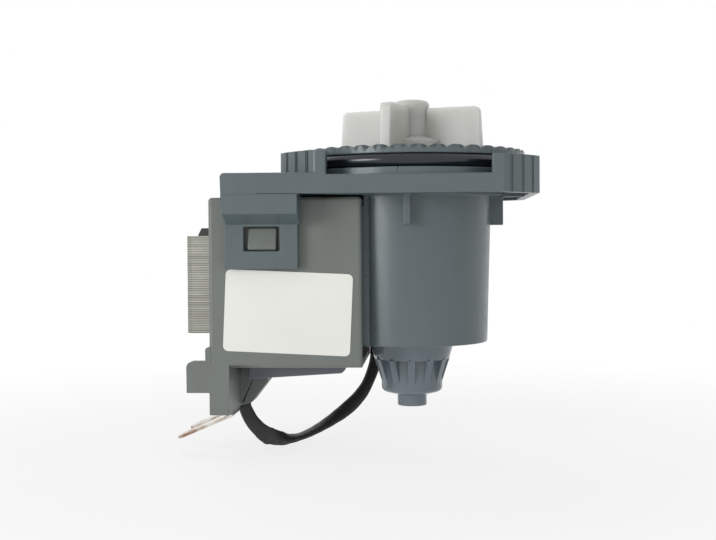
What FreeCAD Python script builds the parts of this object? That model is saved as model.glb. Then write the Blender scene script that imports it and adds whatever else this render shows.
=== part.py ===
import FreeCAD, Part
import math
import os
from types import SimpleNamespace

import Sketcher

# Dishwasher drain pump: a synchronous motor that drives a four-blade impeller.
# Millimetres and degrees. Z runs up the rotor's axis, with the impeller on top.
# X runs away from the coil, so the coil block lies at negative X.
# The origin is on the axis, level with the flange's seating face.

Vector = FreeCAD.Vector
doc = FreeCAD.newDocument("drain_pump")

# Driving sizes. Depths are measured down from the seating face, heights up from it.
SIZES = {
    # Flange plate and its corner posts
    "plate_past_lip_x": 1.4,
    "plate_past_lip_y": 0.9,
    "corner_past_lip": 8.2,
    "flange_thick": 4.6,
    "post_height": 5.9,
    "right_post_drop": 1.3,
    "post_start_x": 19.9,
    "post_start_y": 14.0,
    "post_past_lip": 3.0,
    "grip_groove_radius": 0.55,
    "grip_groove_step": 5.7,
    "pocket_rim": 2.2,
    "pocket_depth": 2.6,
    "pocket_rib": 2.0,
    "pocket_left_x": 3.0,
    # Spigot that enters the sump
    "ring_proud_of_lip": 0.4,
    "lip_height": 1.8,
    "ring_proud_of_rim": 1.0,
    "rim_wall": 4.3,
    "rim_thick": 1.3,
    "tooth_height": 0.8,
    "tooth_count": 40,
    "tooth_gap_share": 0.97,
    "dish_floor": 3.2,
    "dish_thick": 2.5,
    # Sump O-ring and its groove
    "ring_outer_radius": 31.0,
    "ring_section": 3.2,
    "ring_side_gap": 0.05,
    "ring_base_gap": 0.1,
    # Shroud round the poles
    "shroud_radius": 21.2,
    "shroud_draft": 1.65,
    "shroud_wall": 2.0,
    "shroud_depth": 42.7,
    "shroud_cut_x": 10.1,
    "shroud_lip_reach": 1.7,
    "shroud_tongue_reach": 0.7,
    "shroud_lip_setback": 0.2,
    "gusset_thick": 1.7,
    "gusset_reach": 3.2,
    "gusset_shift": 0.6,
    "gusset_depth": 7.4,
    # Snap arms that hold the coil housing
    "arm_left_x": 45.6,
    "arm_right_x": 26.9,
    "arm_rise": 0.5,
    "arm_setback": 0.2,
    "arm_taper": 0.3,
    "arm_face_depth": 9.4,
    "arm_slope_depth": 2.5,
    "arm_pocket_wall": 2.2,
    "arm_corner_radius": 1.1,
    "clip_thick": 2.2,
    "clip_gap": 0.5,
    "clip_depth": 22.8,
    "clip_past_arm": 0.2,
    "clip_right_inset": 0.6,
    "window_left_x": 40.9,
    "window_right_x": 32.0,
    "window_top": 12.4,
    "window_bottom": 18.4,
    "web_thick": 3.0,
    "seat_rib_thick": 2.0,
    "seat_rib_pitch": 14.0,
    "seat_gap": 0.3,
    # Rotor can with its ribbed end
    "can_radius": 12.5,
    "can_wall": 1.1,
    "can_hole_gap": 0.2,
    "can_collar_radius": 15.5,
    "can_collar_thick": 1.6,
    "can_taper_depth": 41.0,
    "can_end_depth": 44.3,
    "can_end_radius": 10.9,
    "fin_top_depth": 47.4,
    "fin_top_radius": 10.0,
    "fin_foot_depth": 53.4,
    "fin_thick": 2.0,
    "fin_count": 12,
    "can_core_radius": 8.1,
    "can_floor_depth": 55.9,
    "can_floor_round": 1.2,
    "nub_radius": 3.9,
    "nub_top_depth": 57.1,
    "nub_depth": 59.9,
    # Bearings in their rubber rings
    "shaft_radius": 2.0,
    "running_gap": 0.03,
    "fit_gap": 0.02,
    "core_hub_top_reach": 3.0,
    "core_hub_foot_reach": 2.5,
    "can_step_gap": 0.6,
    "shaft_relief": 0.6,
    "shaft_chamfer": 0.3,
    "assembly_gap": 0.05,
    "end_play": 0.3,
    "bush_radius": 4.0,
    "bush_length": 5.5,
    "bush_rubber_thick": 1.9,
    "bush_rubber_inset": 0.2,
    # Carrier that closes the can
    "carrier_flange_radius": 13.2,
    "carrier_flange_thick": 0.9,
    "carrier_slip_gap": 0.15,
    "carrier_web_thick": 1.4,
    "carrier_bottom": 8.0,
    "carrier_web_hole_radius": 3.0,
    "seal_pocket_radius": 6.5,
    "seal_height": 3.6,
    "seal_wall": 1.3,
    "seal_lip_thick": 1.2,
    "carrier_ring_section": 1.9,
    "carrier_ring_depth": 3.4,
    # Rotor
    "magnet_length": 28.0,
    "magnet_middle_depth": 27.0,
    "air_gap": 0.8,
    "rotor_core_radius": 4.6,
    "end_disc_thick": 0.95,
    "end_disc_inset": 0.2,
    "washer_thick": 0.55,
    "washer_radius": 4.2,
    "shaft_top": 17.0,
    "shaft_end_gap": 1.2,
    # Impeller and the dog that drives it
    "impeller_turn": 18.5,
    "blade_radius": 19.9,
    "blade_top_radius": 19.0,
    "blade_corner": 1.4,
    "blade_thick": 2.7,
    "blade_top": 18.9,
    "blade_bottom": 5.6,
    "blade_count": 4,
    "hub_radius": 5.0,
    "hub_top": 21.1,
    "hub_dome_round": 1.3,
    "hub_bore_end": 17.5,
    "cup_radius": 8.6,
    "cup_wall": 1.3,
    "cup_bottom": 5.2,
    "cup_ceiling": 9.3,
    "cup_roof": 1.1,
    "hub_cap_thick": 0.8,
    "dog_hub_radius": 3.4,
    "dog_side_gap": 0.35,
    "dog_span": 80.0,
    "stop_span": 80.0,
    "damper_span": 12.0,
    "stop_play": 1.5,
    "stop_sunk": 0.2,
    "cap_hole_gap": 1.0,
    # Laminated core
    "core_left_x": 57.6,
    "core_top": 14.5,
    "core_stack": 25.0,
    "core_half_y": 14.8,
    "core_leg_inner_y": 5.1,
    "core_yoke_wide": 11.0,
    "core_right_x": 9.0,
    "core_chamfer": 1.4,
    "core_bore_gap": 0.4,
    # Bobbins and windings
    "bobbin_left_x": 45.9,
    "bobbin_right_x": 14.2,
    "bobbin_tube_wall": 0.9,
    "bobbin_core_gap": 0.2,
    "bobbin_flange_thick": 1.0,
    "bobbin_flange_reach": 4.2,
    "bobbin_inner_y": 0.4,
    "winding_thick": 3.2,
    "winding_gap": 0.05,
    "winding_inner_round": 0.12,
    "winding_outer_round": 3.3,
    "tape_thick": 0.35,
    # Coil housing
    "housing_left_x": 50.3,
    "housing_over_can": 0.55,
    "housing_half_y": 22.8,
    "housing_top": 5.0,
    "housing_bottom": 47.6,
    "housing_wall": 1.8,
    "housing_edge_round": 1.0,
    "core_window_gap": 0.4,
    "catch_side_gap": 0.9,
    "catch_top_gap": 0.35,
    "catch_foot_gap": 0.25,
    "catch_reach": 2.1,
    "catch_top_reach": 1.1,
    "catch_edge": 1.2,
    # Terminal block under the housing
    "block_wide": 5.0,
    "block_bottom": 59.5,
    "block_wall": 1.0,
    "block_floor": 2.0,
    "block_cavity_half_y": 14.0,
    "block_corner_y": 5.7,
    "block_corner_rise": 4.0,
    "block_boss_half_y": 12.0,
    "block_boss_depth": 1.5,
    "duct_wide": 2.6,
    "strut_right_x": 38.3,
    "strut_top": 53.3,
    "duct_half_y": 4.0,
    "duct_tilt": 18.0,
    "duct_foot_x": 45.1,
    "duct_foot_depth": 59.69,
    "shoulder_wide": 1.0,
    "shoulder_top": 42.4,
    "shoulder_round": 0.9,
    "guard_left_x": 56.1,
    "guard_top": 46.0,
    "guard_bottom": 53.9,
    "guard_thick": 3.0,
    "guard_round": 1.6,
    # Terminal tabs
    "tab_wide": 6.3,
    "tab_thick": 0.8,
    "tab_pitch_half": 7.65,
    "tab_x": 47.0,
    "tab_slope": 23.0,
    "tab_reach": 15.6,
    "tab_bend_depth": 61.35,
    "tab_bend_run": 0.25,
    "tab_top_depth": 53.0,
    "tab_tip_chamfer": 1.3,
    "tab_hole_radius": 0.9,
    "tab_hole_from_tip": 3.4,
    "tab_slot_gap": 0.1,
    "lead_radius": 0.4,
    "lead_depth": 45.3,
    "lead_foot_depth": 55.5,
    "lead_right_x": 40.0,
    # Cover under the lead channel
    "cover_left_x": 42.2,
    "cover_right_x": 17.0,
    "cover_half_y": 12.0,
    "cover_depth": 4.1,
    "cover_rise": 1.5,
    "cover_wall": 1.0,
    "cover_chamfer": 0.9,
    "cover_notch_gap": 0.15,
    # Wedges that lock the core in its window
    "wedge_left_x": 54.6,
    "wedge_right_x": 47.8,
    "wedge_inner_y": 9.0,
    "wedge_height": 2.0,
    "wedge_taper": 1.0,
    # Blank rating label
    "label_wide": 31.8,
    "label_high": 20.4,
    "label_thick": 0.12,
    "label_middle_x": 30.4,
    "label_middle_depth": 33.8,
    "label_tilt": 2.6,
    "label_round": 1.3,
    # Sleeve over the leads
    "sleeve_diameter": 3.4,
    "sleeve_seat_y": 12.0,
    "sleeve_seat_half": 1.9,
    "sleeve_seat_x": 8.0,
    "sleeve_seat_depth": 43.0,
    "sleeve_seat_thick": 1.8,
    # How far a cut runs past a face, and a feature into the wall that carries it
    "cut_over": 1.0,
    "sunk": 0.5,
}

# Centre line of the sleeve, from the terminal block round to the seat on the rear bobbin
SLEEVE_ROUTE = [
    (-45.1, -1.5, -59.69),
    (-44.22, -1.5, -62.4),
    (-42.3, -1.4, -65.5),
    (-39.25, -1.1, -68.2),
    (-35.4, -0.5, -69.5),
    (-31.1, 0.6, -69.2),
    (-26.7, 2.2, -67.5),
    (-21.74, 4.2, -64.68),
    (-17.16, 6.6, -61.41),
    (-13.61, 8.9, -57.66),
    (-11.4, 10.9, -53.07),
    (-10.0, 12.0, -48.2),
    (-10.0, 12.0, -43.0),
]


class Size:
    """A number together with the sheet expression that gives it."""

    def __init__(self, number, text):
        self.number = float(number)
        self.text = text

    def __add__(self, other):
        other = as_size(other)
        return Size(self.number + other.number, f"({self.text} + {other.text})")

    def __sub__(self, other):
        other = as_size(other)
        return Size(self.number - other.number, f"({self.text} - {other.text})")

    def __mul__(self, other):
        other = as_size(other)
        return Size(self.number * other.number, f"({self.text} * {other.text})")

    def __truediv__(self, other):
        other = as_size(other)
        return Size(self.number / other.number, f"({self.text} / {other.text})")

    def __neg__(self):
        return Size(-self.number, f"(-{self.text})")

    def __radd__(self, other):
        return as_size(other) + self

    def __rsub__(self, other):
        return as_size(other) - self

    def __rmul__(self, other):
        return as_size(other) * self


def as_size(item):
    if isinstance(item, Size):
        return item
    return Size(item, repr(float(item)))


def root(item):
    return Size(math.sqrt(item.number), f"sqrt({item.text})")


def sine(angle):
    return Size(math.sin(math.radians(angle.number)), f"sin({angle.text})")


def cosine(angle):
    return Size(math.cos(math.radians(angle.number)), f"cos({angle.text})")


def tangent(angle):
    return Size(math.tan(math.radians(angle.number)), f"tan({angle.text})")


sheet = doc.addObject("Spreadsheet::Sheet", "sizes")
for row, (alias, number) in enumerate(SIZES.items(), start=1):
    sheet.set(f"A{row}", alias)
    sheet.set(f"B{row}", str(number))
    sheet.setAlias(f"B{row}", alias)
doc.recompute()

s = SimpleNamespace(**{alias: Size(number, f"sizes.{alias}") for alias, number in SIZES.items()})
ZERO = as_size(0)

# Levels and places that several pieces share
plate_under = -s.flange_thick
lip_radius = s.ring_outer_radius - s.ring_proud_of_lip
rim_radius = s.ring_outer_radius - s.ring_proud_of_rim
dish_radius = rim_radius - s.rim_wall
flange_half_x = lip_radius + s.plate_past_lip_x
flange_half_y = lip_radius + s.plate_past_lip_y
flange_corner_radius = lip_radius + s.corner_past_lip
groove_floor_radius = s.ring_outer_radius - s.ring_section - s.ring_base_gap
groove_top = s.lip_height + s.ring_section + 2 * s.ring_side_gap
tooth_valley = groove_top + s.rim_thick
tooth_peak = tooth_valley + s.tooth_height
dish_under = s.dish_floor - s.dish_thick
can_bore = s.can_radius - s.can_wall
can_hole = s.can_radius + s.can_hole_gap
collar_top = s.dish_floor + s.can_collar_thick
bush_bore = s.shaft_radius + s.running_gap
bush_seat = s.bush_radius + s.bush_rubber_thick + s.assembly_gap
magnet_bottom = -s.magnet_middle_depth - s.magnet_length / 2
magnet_top = -s.magnet_middle_depth + s.magnet_length / 2
clip_face_y = s.housing_half_y + s.clip_gap + s.clip_thick
core_bottom = -s.core_top - s.core_stack
stator_bore = s.can_radius + s.core_bore_gap
leg_wide = s.core_half_y - s.core_leg_inner_y
leg_middle_y = (s.core_half_y + s.core_leg_inner_y) / 2
core_middle_z = -s.core_top - s.core_stack / 2
housing_right_x = s.can_radius - s.housing_over_can
block_right_x = s.housing_left_x - s.block_wide
core_hub_top = magnet_top + s.end_disc_thick + s.core_hub_top_reach
core_hub_bottom = magnet_bottom - s.end_disc_thick - s.core_hub_foot_reach
front_bush_bottom = core_hub_top + s.washer_thick + s.end_play
front_bush_top = front_bush_bottom + s.bush_length
rear_bush_top = core_hub_bottom - s.washer_thick - s.end_play
rear_bush_bottom = rear_bush_top - s.bush_length
shaft_bottom = rear_bush_bottom - s.shaft_end_gap
can_step = magnet_bottom - s.end_disc_thick - s.can_step_gap
carrier_web_top = front_bush_top + s.carrier_web_thick
carrier_shoulder = collar_top - s.carrier_flange_thick
dog_bottom = s.cup_bottom + s.hub_cap_thick + s.dog_side_gap
dog_top = s.cup_ceiling - s.dog_side_gap
cup_bore = s.cup_radius - s.cup_wall


def add_body(label):
    body = doc.addObject("PartDesign::Body", label)
    body.Label = label
    return body


def add_sketch(body, name, plane, offset=ZERO):
    """A sketch on one of the body's own planes, moved along that plane's normal."""
    sketch = body.newObject("Sketcher::SketchObject", f"{body.Name}_{name}")
    support = next(item for item in body.Origin.OriginFeatures if item.Role == f"{plane}_Plane")
    sketch.AttachmentSupport = [(support, "")]
    sketch.MapMode = "FlatFace"
    sketch.setExpression("AttachmentOffset.Base.z", offset.text)
    return sketch


def pin_point(sketch, item, end, x, y):
    """Hold one end of a line, arc or circle at a place given by two sizes."""
    for kind, axis, place in (("DistanceX", -2, x), ("DistanceY", -1, y)):
        if place.number == 0:
            sketch.addConstraint(Sketcher.Constraint("PointOnObject", item, end, axis))
            continue
        number = sketch.addConstraint(Sketcher.Constraint(kind, -1, 1, item, end, place.number))
        sketch.setExpression(f"Constraints[{number}]", place.text)


def draw_outline(sketch, corners):
    """Closed outline of straight lines through the corners."""
    corners = [(as_size(x), as_size(y)) for x, y in corners]
    places = [Vector(x.number, y.number, 0) for x, y in corners]
    following = places[1:] + places[:1]
    lines = [
        sketch.addGeometry(Part.LineSegment(start, end), False)
        for start, end in zip(places, following)
    ]
    for line, after in zip(lines, lines[1:] + lines[:1]):
        sketch.addConstraint(Sketcher.Constraint("Coincident", line, 2, after, 1))
    for line, (x, y) in zip(lines, corners):
        pin_point(sketch, line, 1, x, y)


def draw_box(sketch, x_low, x_high, y_low, y_high):
    draw_outline(sketch, [(x_low, y_low), (x_high, y_low), (x_high, y_high), (x_low, y_high)])


def draw_circle(sketch, x, y, radius):
    x, y, radius = as_size(x), as_size(y), as_size(radius)
    place = Vector(x.number, y.number, 0)
    circle = sketch.addGeometry(Part.Circle(place, Vector(0, 0, 1), radius.number), False)
    pin_point(sketch, circle, 3, x, y)
    number = sketch.addConstraint(Sketcher.Constraint("Radius", circle, radius.number))
    sketch.setExpression(f"Constraints[{number}]", radius.text)


def add_pad(body, sketch, length, middle=False, reverse=False):
    pad = body.newObject("PartDesign::Pad", f"{sketch.Name}_pad")
    pad.Profile = sketch
    pad.setExpression("Length", as_size(length).text)
    pad.Midplane = middle
    pad.Reversed = reverse
    return pad


def add_pocket(body, sketch, length, middle=False, reverse=False):
    """Cut the sketch's outline away, and make sure that the cut met the solid."""
    doc.recompute()
    before = body.Shape.Volume
    pocket = body.newObject("PartDesign::Pocket", f"{sketch.Name}_pocket")
    pocket.Profile = sketch
    pocket.setExpression("Length", as_size(length).text)
    pocket.Midplane = middle
    pocket.Reversed = reverse
    doc.recompute()
    if body.Shape.Volume > before - 0.01:
        raise ValueError(f"{pocket.Name} cuts nothing")
    return pocket


def add_turned(body, sketch, cut=False):
    """Turn an outline on the XZ plane about the Z axis, as a solid or as a cut."""
    kind = "PartDesign::Groove" if cut else "PartDesign::Revolution"
    turned = body.newObject(kind, f"{sketch.Name}_turned")
    turned.Profile = sketch
    turned.ReferenceAxis = (sketch, ["V_Axis"])
    turned.Angle = 360
    return turned


def add_round_copies(body, feature, count):
    """Repeat a feature about the Z axis."""
    pattern = body.newObject("PartDesign::PolarPattern", f"{feature.Name}_copies")
    pattern.Originals = [feature]
    support = next(item for item in body.Origin.OriginFeatures if item.Role == "Z_Axis")
    pattern.Axis = (support, [""])
    pattern.Angle = 360
    pattern.setExpression("Occurrences", as_size(count).text)
    body.Tip = pattern
    return pattern


def add_mirror(body, features, plane):
    mirror = body.newObject("PartDesign::Mirrored", f"{features[0].Name}_mirror")
    mirror.Originals = features
    support = next(item for item in body.Origin.OriginFeatures if item.Role == f"{plane}_Plane")
    mirror.MirrorPlane = (support, [""])
    body.Tip = mirror
    return mirror


def edge_names(shape, test):
    """Names of the edges whose middle passes the test."""
    names = []
    for number, edge in enumerate(shape.Edges, start=1):
        middle = edge.valueAt((edge.FirstParameter + edge.LastParameter) / 2)
        if test(middle):
            names.append(f"Edge{number}")
    if not names:
        raise ValueError("no edge passes the test")
    return names


def add_round(body, radius, test, kind="Fillet"):
    """Round or chamfer the edges of the body's last feature that pass the test."""
    doc.recompute()
    base = body.Tip
    names = edge_names(base.Shape, test)
    feature = body.newObject(f"PartDesign::{kind}", f"{base.Name}_{kind.lower()}")
    feature.Base = (base, names)
    feature.setExpression("Radius" if kind == "Fillet" else "Size", radius.text)
    doc.recompute()
    return feature


def near(value, target):
    return abs(value - as_size(target).number) < 0.01


def turned_piece(label, corners):
    """A piece that is round about the Z axis, from half its section."""
    body = add_body(label)
    sketch = add_sketch(body, "section", "XZ")
    draw_outline(sketch, corners)
    add_turned(body, sketch)
    return body


def add_ring(label, inner, outer, bottom, top):
    return turned_piece(label, [(inner, bottom), (outer, bottom), (outer, top), (inner, top)])


def add_torus(label, radius, section_radius, height):
    torus = doc.addObject("Part::Torus", label)
    torus.Label = label
    torus.setExpression("Radius1", radius.text)
    torus.setExpression("Radius2", section_radius.text)
    torus.setExpression("Placement.Base.z", height.text)
    return torus


def add_group(label, pieces):
    """One node that holds alike pieces as separate solids."""
    group = doc.addObject("Part::Compound", label)
    group.Label = label
    group.Links = pieces
    return group


def add_copy_across(label, source):
    """The same piece on the other side of the XZ plane."""
    copy = doc.addObject("Part::Mirroring", label)
    copy.Label = label
    copy.Source = source
    copy.Normal = Vector(0, 1, 0)
    return copy


def add_cylinder(name, radius, height, place, angle=None):
    cylinder = doc.addObject("Part::Cylinder", name)
    cylinder.setExpression("Radius", as_size(radius).text)
    cylinder.setExpression("Height", as_size(height).text)
    for axis, item in zip("xyz", place):
        cylinder.setExpression(f"Placement.Base.{axis}", as_size(item).text)
    if angle is not None:
        cylinder.setExpression("Angle", as_size(angle).text)
    return cylinder


def add_cut(label, base, tool):
    cut = doc.addObject("Part::Cut", label)
    cut.Label = label
    cut.Base = base
    cut.Tool = tool
    return cut


def add_fuse(label, pieces):
    fuse = doc.addObject("Part::MultiFuse", label)
    fuse.Label = label
    fuse.Shapes = pieces
    return fuse


def add_sector(name, inner, outer, bottom, height, start, span):
    """A ring segment about the Z axis, from the start angle over the span."""
    slice_of_disc = add_cylinder(f"{name}_disc", outer, height, (0, 0, bottom), span)
    tall = height + 2 * s.cut_over
    core = add_cylinder(f"{name}_core", inner, tall, (0, 0, bottom - s.cut_over))
    sector = add_cut(name, slice_of_disc, core)
    sector.Placement = FreeCAD.Placement(Vector(0, 0, 0), FreeCAD.Rotation(Vector(0, 0, 1), 1))
    sector.setExpression("Placement.Rotation.Angle", as_size(start).text)
    return sector


def turn_to_impeller(piece):
    """Turn a finished piece about the Z axis to where the blades stand at rest."""
    axis = Vector(0, 0, -1)
    piece.Placement = FreeCAD.Placement(Vector(0, 0, 0), FreeCAD.Rotation(axis, 1))
    piece.setExpression("Placement.Rotation.Angle", s.impeller_turn.text)
    return piece


# Front flange: plate, posts, spigot, shroud and snap arms in one moulding


def flange_posts(body):
    """The plate with four corner posts left standing on it."""
    plan = add_sketch(body, "plan", "XY", plate_under)
    draw_circle(plan, 0, 0, flange_corner_radius)
    add_pad(body, plan, s.flange_thick + s.post_height)
    sides = add_sketch(body, "sides", "XY", s.post_height)
    far = flange_corner_radius + s.cut_over
    draw_box(sides, -far, far, -far, far)
    draw_box(sides, -flange_half_x, flange_half_x, -flange_half_y, flange_half_y)
    add_pocket(body, sides, s.flange_thick + s.post_height)
    inside = add_sketch(body, "inside_posts", "XY", s.post_height)
    draw_circle(inside, 0, 0, lip_radius + s.post_past_lip)
    add_pocket(body, inside, s.post_height)
    front = add_sketch(body, "front_gap", "XY", s.post_height)
    draw_box(front, -s.post_start_x, s.post_start_x, -far, far)
    add_pocket(body, front, s.post_height)
    side = add_sketch(body, "side_gap", "XY", s.post_height)
    draw_box(side, -far, far, -s.post_start_y, s.post_start_y)
    add_pocket(body, side, s.post_height)
    right = add_sketch(body, "right_posts", "XY", s.post_height)
    draw_box(right, 0, far, -far, far)
    add_pocket(body, right, s.right_post_drop)
    grooves = add_sketch(body, "grip_grooves", "XY", s.post_height)
    for step in (-1, 0, 1):
        angle = 45 + step * s.grip_groove_step
        radius = flange_corner_radius
        draw_circle(grooves, radius * cosine(angle), radius * sine(angle), s.grip_groove_radius)
    groove = add_pocket(body, grooves, s.flange_thick + s.post_height)
    add_round_copies(body, groove, 4)


def flange_spigot(body):
    """Spigot, dish and shroud, turned in one section."""
    shroud_foot = s.shroud_radius - (s.shroud_depth - s.flange_thick) * tangent(s.shroud_draft)
    inner_top = s.shroud_radius - s.shroud_wall
    section = add_sketch(body, "spigot_section", "XZ")
    draw_outline(
        section,
        [
            (can_hole, dish_under),
            (inner_top, dish_under),
            (shroud_foot - s.shroud_wall, -s.shroud_depth),
            (shroud_foot, -s.shroud_depth),
            (s.shroud_radius, plate_under),
            (lip_radius, plate_under),
            (lip_radius, s.lip_height),
            (groove_floor_radius, s.lip_height),
            (groove_floor_radius, groove_top),
            (rim_radius, groove_top),
            (rim_radius, tooth_peak),
            (dish_radius, tooth_peak),
            (dish_radius, s.dish_floor),
            (can_hole, s.dish_floor),
        ],
    )
    add_turned(body, section)
    doc.recompute()


def flange_open_underside(body):
    """Clear the plate from inside the shroud, and cut the shroud flat beside the coil."""
    well = add_sketch(body, "well", "XY", plate_under)
    draw_circle(well, 0, 0, s.shroud_radius - s.shroud_wall - s.can_hole_gap)
    add_pocket(body, well, s.flange_thick + dish_under, reverse=True)
    flat = add_sketch(body, "shroud_flat", "XY", plate_under)
    far = s.shroud_radius + s.cut_over
    draw_box(flat, -far, -s.shroud_cut_x, -far, far)
    add_pocket(body, flat, s.shroud_depth)


def flange_teeth(body):
    """Rounded crown teeth: what lies between two crests is cut away all round."""
    start = dish_radius - s.assembly_gap
    notch = add_sketch(body, "tooth_gap", "YZ", start)
    half = start * s.tooth_gap_share * math.pi / s.tooth_count
    draw_tooth_gap(notch, half, tooth_valley, tooth_peak, tooth_peak + s.cut_over)
    cut = add_pocket(body, notch, s.rim_wall + s.cut_over, reverse=True)
    add_round_copies(body, cut, s.tooth_count)


def draw_tooth_gap(sketch, half, valley, peak, above):
    """A gap between two round crests: an arc falls from each crest to the valley."""
    rise = peak - valley
    radius = (half * half + rise * rise) / (2 * rise)
    left, right = Vector(-half.number, peak.number), Vector(half.number, peak.number)
    centre_z = peak.number - radius.number
    left_circle = Part.Circle(Vector(-half.number, centre_z), Vector(0, 0, 1), radius.number)
    right_circle = Part.Circle(Vector(half.number, centre_z), Vector(0, 0, 1), radius.number)
    reach = math.atan2(valley.number - centre_z, half.number)
    arc_left = sketch.addGeometry(Part.ArcOfCircle(left_circle, reach, math.pi / 2), False)
    arc_right = sketch.addGeometry(
        Part.ArcOfCircle(right_circle, math.pi / 2, math.pi - reach), False
    )
    top_left, top_right = Vector(left.x, above.number), Vector(right.x, above.number)
    side_left = sketch.addGeometry(Part.LineSegment(left, top_left), False)
    top = sketch.addGeometry(Part.LineSegment(top_left, top_right), False)
    side_right = sketch.addGeometry(Part.LineSegment(top_right, right), False)
    for first, first_end, second, second_end in (
        (arc_left, 1, arc_right, 2),
        (arc_left, 2, side_left, 1),
        (side_left, 2, top, 1),
        (top, 2, side_right, 1),
        (side_right, 2, arc_right, 1),
    ):
        joint = Sketcher.Constraint("Coincident", first, first_end, second, second_end)
        sketch.addConstraint(joint)
    pin_point(sketch, arc_left, 3, -half, peak - radius)
    pin_point(sketch, arc_right, 3, half, peak - radius)
    pin_point(sketch, side_left, 1, -half, peak)
    pin_point(sketch, side_left, 2, -half, above)
    pin_point(sketch, side_right, 1, half, above)
    pin_point(sketch, side_right, 2, half, peak)


def flange_pockets(body):
    """Two shallow pockets under the right half of the plate, with a rim and a middle rib between."""
    rim_x, rim_y = flange_half_x - s.pocket_rim, flange_half_y - s.pocket_rim
    corner = flange_corner_radius - s.pocket_rim
    clear = s.shroud_radius + s.pocket_rim
    bend = clear * tangent(as_size(22.5))
    rib = s.pocket_rib / 2
    plan = add_sketch(body, "underside_pocket", "XY", plate_under)
    draw_outline(
        plan,
        [
            (clear, -rib),
            (clear, -bend),
            (bend, -clear),
            (s.pocket_left_x, -clear),
            (s.pocket_left_x, -rim_y),
            (root(corner * corner - rim_y * rim_y), -rim_y),
            (rim_x, -root(corner * corner - rim_x * rim_x)),
            (rim_x, -rib),
        ],
    )
    pocket = add_pocket(body, plan, s.pocket_depth, reverse=True)
    add_mirror(body, [pocket], "XZ")
    doc.recompute()


def flange_gussets(body):
    """Three ribs under the plate, at the front, the back and the right of the shroud."""
    half = s.gusset_thick / 2
    inner, outer = s.shroud_radius - s.shroud_wall / 2, s.shroud_radius + s.gusset_reach
    ribs = add_sketch(body, "gussets", "XY", plate_under)
    draw_box(ribs, -half - s.gusset_shift, half - s.gusset_shift, -outer, -inner)
    draw_box(ribs, -half, half, inner, outer)
    draw_box(ribs, inner, outer, -half, half)
    add_pad(body, ribs, s.gusset_depth, reverse=True)


def flange_arms(body):
    """A web over the coil, with a stepped arm and its clip plate at the front and the back."""
    left, wide = -s.arm_left_x, s.arm_left_x - s.arm_right_x
    face, inner_y = flange_half_y - s.arm_setback, s.housing_half_y + s.clip_gap
    slope_foot = s.arm_face_depth + s.arm_slope_depth
    web = add_sketch(body, "web", "XY", s.arm_rise)
    draw_box(web, left, -flange_half_x + s.cut_over, -face, face)
    add_pad(body, web, s.arm_rise + s.web_thick, reverse=True)
    arm = add_sketch(body, "arm", "YZ", left)
    draw_outline(
        arm,
        [
            (-inner_y, s.arm_rise),
            (-face, s.arm_rise),
            (-face, -s.arm_face_depth),
            (-clip_face_y, -slope_foot),
            (-inner_y, -slope_foot),
        ],
    )
    arm_pad = add_pad(body, arm, wide)
    add_mirror(body, [arm_pad], "XZ")
    doc.recompute()
    corner = flange_corner_radius * flange_corner_radius
    rail = add_sketch(body, "rail", "XY", s.arm_rise)
    draw_box(
        rail,
        left,
        -root(corner - flange_half_y * flange_half_y) + s.sunk,
        -flange_half_y,
        -root(corner - s.arm_right_x * s.arm_right_x) + s.sunk,
    )
    rail_pad = add_pad(body, rail, s.arm_rise + s.flange_thick, reverse=True)
    add_mirror(body, [rail_pad], "XZ")
    doc.recompute()
    hollow = add_sketch(body, "arm_hollow", "YZ", left + s.arm_pocket_wall + s.arm_taper)
    draw_outline(
        hollow,
        [
            (-inner_y + s.sunk, -s.web_thick),
            (-face + s.arm_pocket_wall, -s.web_thick),
            (-face + s.arm_pocket_wall, -s.arm_face_depth + s.arm_pocket_wall / 2),
            (-inner_y + s.sunk, -slope_foot + s.arm_pocket_wall),
        ],
    )
    deep = wide - 2 * s.arm_pocket_wall - s.arm_taper
    pocket = add_pocket(body, hollow, deep, reverse=True)
    add_mirror(body, [pocket], "XZ")
    doc.recompute()
    taper = add_sketch(body, "arm_taper", "XZ")
    draw_outline(
        taper,
        [
            (left - s.cut_over, s.arm_rise),
            (left, s.arm_rise),
            (left + s.arm_taper, -slope_foot),
            (left + s.arm_taper, -slope_foot - s.cut_over),
            (left - s.cut_over, -slope_foot - s.cut_over),
        ],
    )
    add_pocket(body, taper, 2 * (face + s.cut_over), middle=True)
    clip = add_sketch(body, "clip", "YZ", left - s.clip_past_arm)
    draw_box(clip, -clip_face_y, -inner_y, -s.clip_depth, -slope_foot + s.sunk)
    clip_pad = add_pad(body, clip, wide + s.clip_past_arm - s.clip_right_inset)
    add_mirror(body, [clip_pad], "XZ")
    doc.recompute()
    window = add_sketch(body, "clip_window", "XZ")
    draw_box(window, -s.window_left_x, -s.window_right_x, -s.window_bottom, -s.window_top)
    add_pocket(body, window, 2 * (face + s.cut_over), middle=True)
    ribs = add_sketch(body, "seat_ribs", "XY", -s.web_thick)
    half = s.seat_rib_thick / 2
    for step in (-1, 0, 1):
        middle = step * s.seat_rib_pitch
        draw_box(ribs, left + s.arm_taper, -flange_half_x, middle - half, middle + half)
    add_pad(body, ribs, s.housing_top - s.seat_gap - s.web_thick, reverse=True)


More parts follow.
